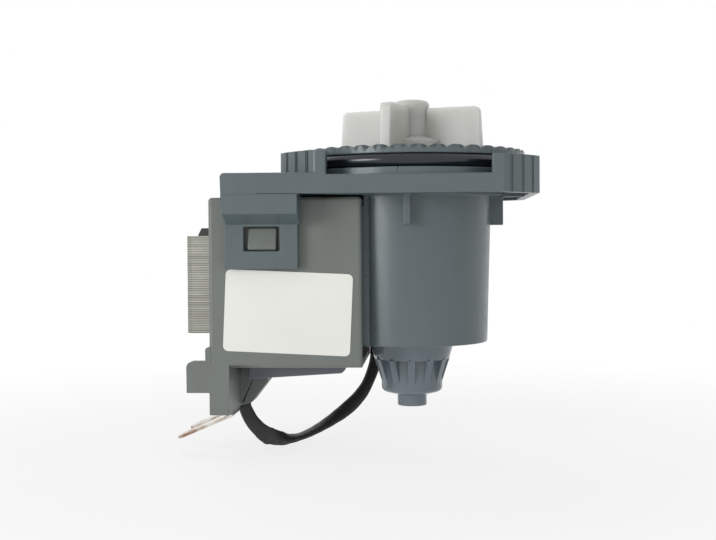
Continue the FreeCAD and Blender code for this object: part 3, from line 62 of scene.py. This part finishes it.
CAMERA_PLACE = (0.00519, -0.2944, -0.01672)
CAMERA_TURN = (88.79, 0.36, 3.342)
CAMERA_LENS = 55.3
CAMERA_SHIFT = (-0.0119, -0.0045)


def place_camera():
    """Stands where the photographer stood: level with the pump and about 29 cm in front of it."""
    data = bpy.data.cameras.new("camera")
    data.lens = CAMERA_LENS
    data.clip_start = 0.01
    data.shift_x, data.shift_y = CAMERA_SHIFT
    camera = bpy.data.objects.new("camera", data)
    camera.location = CAMERA_PLACE
    camera.rotation_euler = [math.radians(a) for a in CAMERA_TURN]
    bpy.context.scene.collection.objects.link(camera)
    bpy.context.scene.camera = camera


place_camera()


# Lead sleeve, the free cord

SLEEVE_ROUTE = [
    (-0.0451, -0.0015, -0.05969),
    (-0.04422, -0.0015, -0.0624),
    (-0.0423, -0.0014, -0.0655),
    (-0.03925, -0.0011, -0.0682),
    (-0.0354, -0.0005, -0.06950),
    (-0.0311, 0.0006, -0.06920),
    (-0.0267, 0.0022, -0.0675),
    (-0.02174, 0.0042, -0.06468),
    (-0.01716, 0.0066, -0.06141),
    (-0.01361, 0.0089, -0.05766),
    (-0.0114, 0.0109, -0.05307),
    (-0.0100, 0.0120, -0.0482),
    (-0.0100, 0.0120, -0.0430),
]

# How the sleeve is pressed flat. Share of its length, reach to its inner and its outer edge
# and thickness in millimetres, and the turn of its flat side away from the front in degrees.
SLEEVE_FORM = [
    (0.00, 1.60, 1.80, 2.9, 0),
    (0.06, 1.80, 1.90, 2.4, 0),
    (0.13, 2.00, 2.00, 1.9, 0),
    (0.175, 2.20, 2.35, 1.2, 0),
    (0.195, 2.35, 2.50, 1.0, 4),
    (0.215, 2.25, 2.00, 1.2, 10),
    (0.25, 2.20, 1.80, 1.4, 30),
    (0.30, 2.15, 1.90, 1.6, 68),
    (0.34, 2.20, 2.20, 1.6, 79),
    (0.40, 2.20, 2.20, 1.6, 73),
    (0.45, 2.20, 2.20, 1.6, 66),
    (0.51, 2.15, 2.15, 1.7, 56),
    (0.57, 2.15, 2.15, 1.7, 44),
    (0.63, 2.10, 2.10, 1.8, 34),
    (0.70, 2.00, 2.00, 2.0, 38),
    (0.78, 1.90, 1.90, 2.2, 48),
    (0.88, 1.80, 1.80, 2.5, 40),
    (1.00, 1.70, 1.70, 3.0, 20),
]
SLEEVE_SIDES = 36
SLEEVE_GIRTH = 10.7         # round the weave, in millimetres
SLEEVE_FULLNESS = 0.85      # 1 is an ellipse, and less is fuller at its corners
SLEEVE_HOLLOW = 0.10        # how deep the two flat sides sink, in millimetres
ROLL_SWELL = 0.10           # the rolled end stands out by this share
ROLL_MIDDLE = 0.35          # and lies this far from the end, in millimetres
ROLL_REACH = 0.30


def smooth_line(route):
    """The points of the smooth curve that the route's points steer."""
    curve = bpy.data.curves.new("sleeve_line", "CURVE")
    curve.dimensions = "3D"
    spline = curve.splines.new("NURBS")
    spline.points.add(len(route) - 1)
    for point, place in zip(spline.points, route):
        point.co = (*place, 1)
    spline.order_u = 3
    spline.use_endpoint_u = True
    spline.resolution_u = 12
    holder = bpy.data.objects.new("sleeve_line", curve)
    bpy.context.scene.collection.objects.link(holder)
    bpy.context.view_layer.update()
    line = [v.co.copy() for v in bpy.data.meshes.new_from_object(holder).vertices]
    bpy.data.objects.remove(holder)
    return line


def sleeve_section(share):
    """The form's values at this share of the length, eased between the two nearest rows."""
    for before, after in zip(SLEEVE_FORM, SLEEVE_FORM[1:]):
        if share <= after[0]:
            break
    part = min(max((share - before[0]) / (after[0] - before[0]), 0.0), 1.0)
    part = part * part * (3 - 2 * part)
    return [low + (high - low) * part for low, high in zip(before[1:], after[1:])]


def rounded(value):
    """A sine or cosine, made fuller to its sign."""
    return math.copysign(abs(value) ** SLEEVE_FULLNESS, value)


def make_sleeve():
    """A woven sleeve pressed flat round its two leads and creased where it turns, with a rolled end."""
    line = smooth_line(SLEEVE_ROUTE)
    run = [0.0]
    for before, after in zip(line, line[1:]):
        run.append(run[-1] + (after - before).length)
    mesh = bpy.data.meshes.new("lead_sleeve_woven")
    shape = bmesh.new()
    uv = shape.loops.layers.uv.new("weave")
    rings, front = [], Vector((0.0, -1.0, 0.0))
    for i, place in enumerate(line):
        along = (line[min(i + 1, len(line) - 1)] - line[max(i - 1, 0)]).normalized()
        depth = (front - along * front.dot(along)).normalized()
        side = along.cross(depth)
        share = run[i] / run[-1]
        inner, outer, thick, turn = sleeve_section(share)
        turn = math.radians(turn)
        rolled = 1 + ROLL_SWELL * math.exp(-((run[i] / MM - ROLL_MIDDLE) / ROLL_REACH) ** 2)
        ring = []
        for k in range(SLEEVE_SIDES):
            a = math.tau * k / SLEEVE_SIDES
            reach = outer if math.cos(a) > 0 else inner
            u = rounded(math.cos(a)) * reach * rolled
            w = rounded(math.sin(a)) * thick / 2 * rolled
            w -= SLEEVE_HOLLOW * math.cos(a) ** 2 * math.sin(a) * (1 - abs(share - 0.5))
            across = u * math.cos(turn) - w * math.sin(turn)
            deep = u * math.sin(turn) + w * math.cos(turn)
            ring.append(shape.verts.new(place + (side * across + depth * deep) * MM))
        rings.append(ring)
    for i in range(len(rings) - 1):
        for k in range(SLEEVE_SIDES):
            j = (k + 1) % SLEEVE_SIDES
            face = shape.faces.new((rings[i][k], rings[i][j], rings[i + 1][j], rings[i + 1][k]))
            face.smooth = True
            spots = ((k, i), (k + 1, i), (k + 1, i + 1), (k, i + 1))
            for loop, (c, r) in zip(face.loops, spots):
                loop[uv].uv = (c / SLEEVE_SIDES * SLEEVE_GIRTH, run[r] / MM)
    shape.faces.new(list(reversed(rings[0])))
    shape.faces.new(rings[-1])
    bmesh.ops.recalc_face_normals(shape, faces=shape.faces)
    shape.to_mesh(mesh)
    shape.free()
    piece = bpy.data.objects.new("lead_sleeve_woven", mesh)
    bpy.context.scene.collection.objects.link(piece)
    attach(piece, "pump_body")
    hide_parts("lead_sleeve")
    return piece


sleeve = make_sleeve()


# Materials

NOISE = {"From Min": 0.3, "From Max": 0.7}      # the range in which a noise's values mostly lie
SHEET = 0.595                                   # one lamination, in millimetres


def linear(text):
    """A colour written as sRGB hex, in the linear values that Blender mixes."""
    parts = [int(text[i:i + 2], 16) / 255 for i in (0, 2, 4)]
    return [p / 12.92 if p <= 0.04045 else ((p + 0.055) / 1.055) ** 2.4 for p in parts] + [1.0]


def shaded(text, share):
    """The same colour, lighter or darker by a share."""
    return [c * share for c in linear(text)[:3]] + [1.0]


def fill(tree, made, sockets):
    """Links or sets a node's sockets."""
    for name, value in sockets.items():
        if isinstance(value, bpy.types.NodeSocket):
            tree.links.new(value, made.inputs[name])
        else:
            made.inputs[name].default_value = value


def node(tree, kind, sockets=None, stops=None, **settings):
    """Adds one node, sets it up and links or fills its sockets."""
    made = tree.nodes.new("ShaderNode" + kind)
    for name, value in settings.items():
        setattr(made, name, value)
    for place, (where, colour) in enumerate(stops or []):
        element = made.color_ramp.elements[place]
        element.position, element.color = where, colour
    fill(tree, made, sockets or {})
    return made


def start(name):
    """A new material: its node tree, its shader and the object's own coordinates."""
    material = bpy.data.materials.new(name)
    material.use_nodes = True
    tree = material.node_tree
    return material, tree, tree.nodes["Principled BSDF"], node(tree, "TexCoord")


def per_mm(size):
    """The scale that makes one cell of a pattern this many millimetres."""
    return 1 / (size * MM)


def injection_moulded(name, colour, rough, grain=0.45, depth=0.006, flow=0.05):
    """A moulded thermoplastic: even colour with faint flow marks along the draw, and the fine
    grain of a spark-eroded mould. The real grain is about 0.05 mm; it is drawn at 0.3 to 0.45 mm,
    so that it shows."""
    material, tree, shader, place = start(name)
    draw = node(tree, "Mapping", {"Vector": place.outputs["Object"], "Scale": (1, 1, 0.35)})
    marks = node(tree, "TexNoise", {"Vector": draw.outputs[0], "Scale": per_mm(9),
                                    "Detail": 3.0, "Roughness": 0.55})
    tone = node(tree, "ValToRGB", {"Fac": marks.outputs["Fac"]},
                stops=[(0.32, shaded(colour, 1 - flow)), (0.70, shaded(colour, 1 + flow))])
    scuffs = node(tree, "TexNoise", {"Vector": place.outputs["Object"], "Scale": per_mm(4),
                                     "Detail": 4.0})
    gloss = node(tree, "MapRange", {"Value": scuffs.outputs["Fac"], **NOISE,
                                    "To Min": rough - 0.05, "To Max": rough + 0.06})
    fine = node(tree, "TexNoise", {"Vector": place.outputs["Object"], "Scale": per_mm(grain),
                                   "Detail": 2.0})
    bump = node(tree, "Bump", {"Height": fine.outputs["Fac"], "Distance": depth * MM,
                               "Strength": 1.0})
    fill(tree, shader, {"Base Color": tone.outputs["Color"], "Roughness": gloss.outputs[0],
                        "Normal": bump.outputs["Normal"], "IOR": 1.49})
    return material


def milky_polypropylene(name, colour):
    """Unfilled natural polypropylene, injection moulded: light sinks a few millimetres in, so
    thin blades glow at their edges."""
    material, tree, shader, place = start(name)
    cloud = node(tree, "TexNoise", {"Vector": place.outputs["Object"], "Scale": per_mm(7),
                                    "Detail": 2.0})
    tone = node(tree, "ValToRGB", {"Fac": cloud.outputs["Fac"]},
                stops=[(0.3, shaded(colour, 0.95)), (0.7, shaded(colour, 1.02))])
    fine = node(tree, "TexNoise", {"Vector": place.outputs["Object"], "Scale": per_mm(0.6),
                                   "Detail": 2.0})
    bump = node(tree, "Bump", {"Height": fine.outputs["Fac"], "Distance": 0.004 * MM})
    fill(tree, shader, {"Base Color": tone.outputs["Color"], "Normal": bump.outputs["Normal"],
                        "Roughness": 0.36, "IOR": 1.49, "Subsurface Weight": 1.0,
                        "Subsurface Scale": 6 * MM, "Subsurface Radius": (1.0, 0.98, 0.94)})
    return material


def moulded_rubber(name, colour, rough):
    """Nitrile or EPDM rubber, compression moulded and wetted with silicone grease: near black
    with soft long highlights."""
    material, tree, shader, place = start(name)
    film = node(tree, "TexNoise", {"Vector": place.outputs["Object"], "Scale": per_mm(3),
                                   "Detail": 3.0})
    gloss = node(tree, "MapRange", {"Value": film.outputs["Fac"], **NOISE,
                                    "To Min": rough - 0.06, "To Max": rough + 0.08})
    tone = node(tree, "ValToRGB", {"Fac": film.outputs["Fac"]},
                stops=[(0.3, shaded(colour, 0.85)), (0.7, shaded(colour, 1.2))])
    bump = node(tree, "Bump", {"Height": film.outputs["Fac"], "Distance": 0.01 * MM})
    fill(tree, shader, {"Base Color": tone.outputs["Color"], "Roughness": gloss.outputs[0],
                        "Normal": bump.outputs["Normal"], "IOR": 1.52})
    return material


def woven_sleeve(name, colour, thread):
    """Glass-fibre sleeve with a dark coating: round braid threads about 0.3 mm apart, drawn at
    0.5 mm, so that they show. The wave node's scale of 0.62 makes one wave 0.5 units long, and
    the UV map's unit is a millimetre."""
    material, tree, shader, place = start(name)
    heights = []
    for turn in (38, -38):
        lay = node(tree, "Mapping", {"Vector": place.outputs["UV"],
                                     "Rotation": (0, 0, math.radians(turn))})
        wave = node(tree, "TexWave", {"Vector": lay.outputs[0], "Scale": 0.62,
                                      "Distortion": 0.6, "Detail": 1.0}, bands_direction="X")
        heights.append(wave.outputs["Fac"])
    braid = node(tree, "Math", {0: heights[0], 1: heights[1]}, operation="MULTIPLY")
    tone = node(tree, "ValToRGB", {"Fac": braid.outputs[0]},
                stops=[(0.05, linear(colour)), (0.85, linear(thread))])
    bump = node(tree, "Bump", {"Height": braid.outputs[0], "Distance": 0.05 * MM,
                               "Strength": 0.8})
    fill(tree, shader, {"Base Color": tone.outputs["Color"], "Normal": bump.outputs["Normal"],
                        "Roughness": 0.48})
    return material


def stamped_laminations(name, colour, dark):
    """Silicon steel sheet 0.6 mm thick, stamped: every cut edge is part bright shear, part dull
    break, and no two sheets match."""
    material, tree, shader, place = start(name)
    axes = node(tree, "SeparateXYZ", {"Vector": place.outputs["Object"]})
    sheet = node(tree, "Math", {0: axes.outputs["Z"], 1: per_mm(SHEET)}, operation="MULTIPLY")
    number = node(tree, "Math", {0: sheet.outputs[0]}, operation="FLOOR")
    mixed = node(tree, "TexWhiteNoise", {"W": number.outputs[0]}, noise_dimensions="1D")
    part = node(tree, "Math", {0: sheet.outputs[0]}, operation="FRACT")
    seam = node(tree, "MapRange", {"Value": part.outputs[0], "From Min": 0.62, "From Max": 0.98,
                                   "To Min": 0.0, "To Max": 1.0})
    smear = node(tree, "TexNoise", {"Vector": place.outputs["Object"], "Scale": per_mm(1.6),
                                    "Detail": 4.0})
    uneven = node(tree, "Math", {0: mixed.outputs["Value"], 1: smear.outputs["Fac"]},
                  operation="MULTIPLY")
    bright = node(tree, "ValToRGB", {"Fac": uneven.outputs[0]},
                  stops=[(0.0, shaded(colour, 0.78)), (0.6, shaded(colour, 1.12))])
    tone = node(tree, "Mix", {0: seam.outputs[0], 6: bright.outputs["Color"], 7: linear(dark)},
                data_type="RGBA")
    gloss = node(tree, "MapRange", {"Value": smear.outputs["Fac"], **NOISE,
                                    "To Min": 0.38, "To Max": 0.55})
    fill(tree, shader, {"Base Color": tone.outputs[2], "Roughness": gloss.outputs[0],
                        "Metallic": 0.85})
    return material


def drawn_metal(name, colour, stain, rough, streak):
    """A rolled or ground metal: fine streaks the way it was worked, and a stain of tarnish in
    patches."""
    material, tree, shader, place = start(name)
    along = node(tree, "Mapping", {"Vector": place.outputs["Object"], "Scale": streak})
    lines = node(tree, "TexNoise", {"Vector": along.outputs[0], "Scale": per_mm(1.2),
                                    "Detail": 5.0})
    patch = node(tree, "TexNoise", {"Vector": place.outputs["Object"], "Scale": per_mm(5),
                                    "Detail": 2.0})
    tone = node(tree, "ValToRGB", {"Fac": patch.outputs["Fac"]},
                stops=[(0.42, linear(colour)), (0.68, linear(stain))])
    gloss = node(tree, "MapRange", {"Value": lines.outputs["Fac"], **NOISE,
                                    "To Min": rough * 0.75, "To Max": rough * 1.35})
    bump = node(tree, "Bump", {"Height": lines.outputs["Fac"], "Distance": 0.006 * MM})
    fill(tree, shader, {"Base Color": tone.outputs["Color"], "Roughness": gloss.outputs[0],
                        "Normal": bump.outputs["Normal"], "Metallic": 1.0})
    return material


def wound_wire(name, colour):
    """Enamelled copper wire 0.2 mm thick, laid turn beside turn: drawn about 1 mm apart, so that
    the turns show. The wave node's waves are a third as long as its cells, so 3.14 mm is asked."""
    material, tree, shader, place = start(name)
    turns = node(tree, "TexWave", {"Vector": place.outputs["Object"], "Scale": per_mm(3.14),
                                   "Distortion": 0.8, "Detail": 1.0}, bands_direction="X")
    # painted shade: the furrows between the turns are darkened to 0.45 of the copper's colour, and the
    # crests keep it
    tone = node(tree, "ValToRGB", {"Fac": turns.outputs["Fac"]},
                stops=[(0.1, shaded(colour, 0.45)), (0.8, linear(colour))])
    bump = node(tree, "Bump", {"Height": turns.outputs["Fac"], "Distance": 0.08 * MM})
    fill(tree, shader, {"Base Color": tone.outputs["Color"], "Normal": bump.outputs["Normal"],
                        "Metallic": 0.7, "Roughness": 0.3, "Coat Weight": 0.5})
    return material


def coated_paper(name, colour):
    """A blank self-adhesive label, coated paper: nearly white, with a soft sheen and the faint
    felt of its fibres."""
    material, tree, shader, place = start(name)
    felt = node(tree, "TexNoise", {"Vector": place.outputs["Object"], "Scale": per_mm(0.5),
                                   "Detail": 4.0})
    waves = node(tree, "TexNoise", {"Vector": place.outputs["Object"], "Scale": per_mm(12),
                                    "Detail": 1.0})
    tone = node(tree, "ValToRGB", {"Fac": waves.outputs["Fac"]},
                stops=[(0.3, shaded(colour, 0.975)), (0.7, shaded(colour, 1.01))])
    ripple = node(tree, "Bump", {"Height": waves.outputs["Fac"], "Distance": 0.15 * MM,
                                 "Strength": 0.5})
    bump = node(tree, "Bump", {"Height": felt.outputs["Fac"], "Distance": 0.004 * MM,
                               "Normal": ripple.outputs["Normal"]})
    fill(tree, shader, {"Base Color": tone.outputs["Color"], "Normal": bump.outputs["Normal"],
                        "Roughness": 0.42})
    return material


grey_pp = injection_moulded("polypropylene_grey_moulded", "5A6669", 0.32)
housing_pbt = injection_moulded("pbt_glass_filled_moulded", "6E7470", 0.44,
                                grain=0.4, depth=0.008, flow=0.06)
cover_pbt = injection_moulded("pbt_dark_moulded", "5E646C", 0.42)
can_ppe = injection_moulded("ppe_dark_polished_mould", "6A757C", 0.14, depth=0.002, flow=0.04)
black_pa = injection_moulded("nylon_black_moulded", "2E2E2D", 0.42)
bobbin_pa = injection_moulded("nylon_glass_filled_natural", "CFC9B8", 0.5)
white_pp = milky_polypropylene("polypropylene_natural_moulded", "C6C7C2")
nitrile = moulded_rubber("nitrile_rubber_greased", "151C22", 0.2)
black_rubber = moulded_rubber("epdm_rubber_moulded", "262626", 0.45)
sleeve_cloth = woven_sleeve("glass_fibre_sleeve_coated", "141413", "2B2A28")
laminations = stamped_laminations("silicon_steel_stamped", "A5A59D", "4A4945")
tinned = drawn_metal("brass_tinned_rolled", "DCD8D0", "9A7A62", 0.2, streak=(0.25, 1, 0.25))
shaft_steel = drawn_metal("stainless_steel_ground", "C8C8C6", "B4B4B2", 0.2, streak=(1, 1, 6))
ceramic = injection_moulded("alumina_ceramic_ground", "DEDCD4", 0.3, flow=0.02)
ferrite = injection_moulded("ferrite_magnet_sintered", "3A3A3C", 0.5, grain=0.3, depth=0.01)
copper = wound_wire("copper_wire_enamelled", "B5683A")
tape = injection_moulded("polyester_film_tape", "D8C24A", 0.3, flow=0.03)
paper = coated_paper("paper_label_coated", "ECEEE6")


def paint(piece, material):
    """Gives a piece one material all over."""
    piece.data.materials.clear()
    piece.data.materials.append(material)


paint(sleeve, sleeve_cloth)


# Dressed solids

MERGE_WITHIN = 0.002 * MM           # corners this near are one
FLAT_WITHIN = math.radians(0.4)     # faces that turn less than this are one flat face
SHARP_FROM = math.radians(32)       # edges that turn more than this are rounded
ROUNDING_STEPS = 2
ROOM_FOR_ROUNDING = 1.1             # how many roundings wide a face is at least, to be rounded
LARGE_FACE_WEIGHT = 80              # how far the larger face decides how a corner is shaded


def alone(piece):
    """Makes a piece the only one that operators act on."""
    bpy.ops.object.select_all(action="DESELECT")
    piece.select_set(True)
    bpy.context.view_layer.objects.active = piece


def apply_modifiers(piece):
    """Applies all of a piece's modifiers, in their order."""
    alone(piece)
    for modifier in list(piece.modifiers):
        bpy.ops.object.modifier_apply(modifier=modifier.name)


def broad(face):
    """About how wide a face is: a long strip gives its width."""
    return 2 * face.calc_area() / max(face.calc_perimeter(), 1e-9)


def mark_edges(piece, width):
    """Marks the sharp edges whose faces are wide enough on both sides to be rounded."""
    shape = bmesh.new()
    shape.from_mesh(piece.data)
    weight = shape.edges.layers.float.new("bevel_weight_edge")
    for edge in shape.edges:
        if len(edge.link_faces) == 2 and edge.calc_face_angle(0) > SHARP_FROM:
            if min(broad(f) for f in edge.link_faces) > ROOM_FOR_ROUNDING * width:
                edge[weight] = 1.0
    shape.to_mesh(piece.data)
    shape.free()


def split_round_holes(cuts):
    """Cuts the faces along planes that pass through their holes, so that none goes all round a hole."""
    for axis, places in cuts.items():
        normal = [float(axis == name) for name in "XYZ"]
        for place in places:
            bpy.ops.mesh.select_all(action="SELECT")
            bpy.ops.mesh.bisect(plane_co=[place * MM * n for n in normal], plane_no=normal)
            bpy.ops.mesh.mark_seam()


def round_edges(piece, width):
    """Rounds the marked edges, and keeps the flat faces shaded flat up to the rounding."""
    mark_edges(piece, width)
    bevel = piece.modifiers.new("edge rounding", "BEVEL")
    bevel.limit_method = "WEIGHT"
    bevel.width = width
    bevel.segments = ROUNDING_STEPS
    bevel.use_clamp_overlap = False
    bevel.miter_outer = "MITER_ARC"
    even = piece.modifiers.new("flat faces stay flat", "WEIGHTED_NORMAL")
    even.keep_sharp = True
    even.weight = LARGE_FACE_WEIGHT
    apply_modifiers(piece)


def dressed(source, name, body, material, width=0.0, cuts=None, smooth=30):
    """A merged copy of a solid, its flat faces made whole and its edges rounded, that stands for
    the solid. The cuts are in millimetres on their axis. The flange's miss the corners of its
    teeth, where a cut would leave a fold across the dish."""
    piece = bpy.data.objects.new(name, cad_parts[source].data.copy())
    bpy.context.scene.collection.objects.link(piece)
    alone(piece)
    bpy.ops.object.mode_set(mode="EDIT")
    bpy.ops.mesh.select_mode(type="EDGE")
    bpy.ops.mesh.select_all(action="SELECT")
    bpy.ops.mesh.remove_doubles(threshold=MERGE_WITHIN)
    split_round_holes(cuts or {})
    bpy.ops.mesh.select_all(action="SELECT")
    bpy.ops.mesh.dissolve_limited(angle_limit=FLAT_WITHIN, delimit={"SEAM"})
    bpy.ops.mesh.mark_seam(clear=True)
    bpy.ops.object.mode_set(mode="OBJECT")
    bpy.ops.object.shade_smooth_by_angle(angle=math.radians(smooth))
    if width:
        round_edges(piece, width * MM)
    paint(piece, material)
    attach(piece, body)
    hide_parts(source)
    return piece


dressed("front_flange", "flange_with_rounded_edges", "pump_body", grey_pp,
        width=0.22, cuts={"X": (-36.45, -2.6), "Y": (1.5,)})
dressed("coil_housing", "housing_with_rounded_edges", "pump_body", housing_pbt,
        width=0.22, cuts={"X": (-47, -36.4), "Y": (0,), "Z": (-26,)})
dressed("rotor_can", "can_with_ribs", "pump_body", can_ppe,
        width=0.15, cuts={"X": (0,), "Y": (0,)})
dressed("bottom_cover", "cover_with_rounded_edges", "pump_body", cover_pbt,
        width=0.25)
dressed("impeller", "impeller_with_soft_edges", "impeller_unit", white_pp,
        width=0.3, cuts={"X": (0,), "Y": (0,)})
dressed("core_wedges", "wedges_with_rounded_edges", "pump_body", black_pa,
        width=0.2)
dressed("terminal_tabs", "tabs_with_rolled_edges", "pump_body", tinned,
        width=0.12, cuts={"Y": (-7.65, 7.65)})
dressed("rating_label", "label_blank", "pump_body", paper)
dressed("sump_o_ring", "seal_ring_smooth", "pump_body", nitrile, smooth=60)


def make_laminations():
    """The core as its sheets: a fine groove runs round it at every joint between two of them."""
    depth, mouth = 0.07 * MM, 0.07 * MM
    low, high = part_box("stator_core")
    piece = dressed("stator_core", "lamination_stack", "pump_body", laminations)
    count = round((high.z - low.z) / (SHEET * MM))
    joints = [low.z + (high.z - low.z) * k / count for k in range(1, count)]
    alone(piece)
    bpy.ops.object.mode_set(mode="EDIT")
    for joint in joints:
        for level in (joint - mouth, joint, joint + mouth):
            bpy.ops.mesh.select_all(action="SELECT")
            bpy.ops.mesh.bisect(plane_co=(0, 0, level), plane_no=(0, 0, 1))
    bpy.ops.mesh.select_all(action="DESELECT")
    bpy.ops.object.mode_set(mode="OBJECT")
    for vertex in piece.data.vertices:
        near = min(abs(vertex.co.z - joint) for joint in joints)
        vertex.select = near < 0.001 * MM
    bpy.ops.object.mode_set(mode="EDIT")
    bpy.ops.mesh.select_mode(type="VERT")
    bpy.ops.transform.shrink_fatten(value=-depth)
    bpy.ops.object.mode_set(mode="OBJECT")
    bpy.ops.object.shade_smooth_by_angle(angle=math.radians(30))


make_laminations()

# Solids that keep their mesh: those that hardly show, and the cap under the hub.
INNER = {
    "bearing_carrier": can_ppe, "carrier_o_ring": nitrile, "shaft_seal": black_rubber,
    "front_bearing": ceramic, "rear_bearing": ceramic,
    "front_bearing_rubber": black_rubber, "rear_bearing_rubber": black_rubber,
    "rotor_shaft": shaft_steel, "rotor_magnet": ferrite, "rotor_core": black_pa,
    "magnet_end_discs": black_pa, "thrust_washers": shaft_steel, "drive_dog": black_pa,
    "impeller_dampers": black_rubber, "impeller_hub_cap": white_pp,
    "front_bobbin": bobbin_pa, "rear_bobbin": bobbin_pa,
    "front_winding": copper, "rear_winding": copper, "coil_tapes": tape,
    "winding_leads": copper,
}
for name, material in INNER.items():
    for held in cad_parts[name].material_slots:
        held.material = material


# Light, floor and white background

LAMP_DISTANCE = 1.05
ROOM_LIGHT = 0.56               # how strongly the white room lights the pump
FLOOR_LIGHT = 0.6               # and what share of white the floor adds
FLOOR_SIDE = 4.0
FLOOR_GAP = 0.3 * MM
SHADOW_MIDDLE = -0.018          # the middle of the part of the floor that keeps its shadow, on X
SHADOW_REACH = 0.22
SHADOW_KEPT = 0.78              # 1 hides the shadow


def add_lamp(name, power, wide, tall, turn, lift):
    """A soft panel that faces the pump: turned to its left from the front, and lifted, in degrees."""
    data = bpy.data.lights.new(name, "AREA")
    data.energy = power
    data.shape = "RECTANGLE"
    data.size, data.size_y = wide, tall
    lamp = bpy.data.objects.new(name, data)
    turn, lift = math.radians(turn), math.radians(lift)
    level = math.cos(lift)
    out = Vector((-math.sin(turn) * level, -math.cos(turn) * level, math.sin(lift)))
    lamp.location = out * LAMP_DISTANCE
    lamp.rotation_euler = out.to_track_quat("Z", "Y").to_euler()
    bpy.context.scene.collection.objects.link(lamp)


add_lamp("key panel", 4.6, 0.36, 0.45, turn=44, lift=4)
add_lamp("back panel", 2.0, 0.60, 0.60, turn=155, lift=38)


def seen_rays(tree):
    """1 for what the camera sees straight, mirrored or through something clear, and 0 for light
    on the pump."""
    rays = node(tree, "LightPath")
    both = node(tree, "Math", {0: rays.outputs["Is Camera Ray"], 1: rays.outputs["Is Glossy Ray"]},
                operation="MAXIMUM")
    return node(tree, "Math", {0: both.outputs[0], 1: rays.outputs["Is Transmission Ray"]},
                operation="MAXIMUM")


def make_world():
    """A white room, which lights the pump less than it shows."""
    world = bpy.data.worlds.new("white room")
    bpy.context.scene.world = world
    world.use_nodes = True
    tree = world.node_tree
    tree.nodes.clear()
    level = node(tree, "MapRange", {"Value": seen_rays(tree).outputs[0],
                                    "To Min": ROOM_LIGHT, "To Max": 1.0})
    glow = node(tree, "Background", {"Color": (1, 1, 1, 1), "Strength": level.outputs[0]})
    node(tree, "OutputWorld", {"Surface": glow.outputs[0]})


def make_floor():
    """A plain pale table that keeps a soft shadow under the pump and turns white away from it."""
    lowest = cad_box[0][2]
    bpy.ops.object.select_all(action="DESELECT")
    bpy.ops.mesh.primitive_plane_add(size=FLOOR_SIDE, location=(0, 0, lowest - FLOOR_GAP))
    floor = bpy.context.object
    floor.name = "floor"
    material, tree, shader, place = start("matt_white_table")
    tree.nodes.remove(shader)
    speck = node(tree, "TexNoise", {"Vector": place.outputs["Object"], "Scale": per_mm(2)})
    tone = node(tree, "ValToRGB", {"Fac": speck.outputs["Fac"]},
                stops=[(0.3, linear("F2F2F2")), (0.7, linear("F6F6F6"))])
    matt = node(tree, "BsdfDiffuse", {"Color": tone.outputs["Color"]})
    glow = node(tree, "Emission", {"Color": (1, 1, 1, 1), "Strength": 1.0})
    centred = node(tree, "Mapping", {"Vector": place.outputs["Object"],
                                     "Location": (-SHADOW_MIDDLE / SHADOW_REACH, 0, 0),
                                     "Scale": (1 / SHADOW_REACH, 1 / SHADOW_REACH, 0)})
    near = node(tree, "TexGradient", {"Vector": centred.outputs[0]}, gradient_type="SPHERICAL")
    white = node(tree, "MapRange", {"Value": near.outputs["Fac"], "From Max": 0.6,
                                    "To Min": 1.0, "To Max": SHADOW_KEPT})
    level = node(tree, "MapRange", {"Value": seen_rays(tree).outputs[0],
                                    "To Min": FLOOR_LIGHT, "To Max": 1.0})
    share = node(tree, "Math", {0: level.outputs[0], 1: white.outputs[0]}, operation="MULTIPLY")
    both = node(tree, "MixShader", {0: share.outputs[0], 1: matt.outputs[0], 2: glow.outputs[0]})
    tree.links.new(both.outputs[0], tree.nodes["Material Output"].inputs["Surface"])
    paint(floor, material)


make_world()
make_floor()
bpy.context.scene.view_settings.view_transform = "Standard"
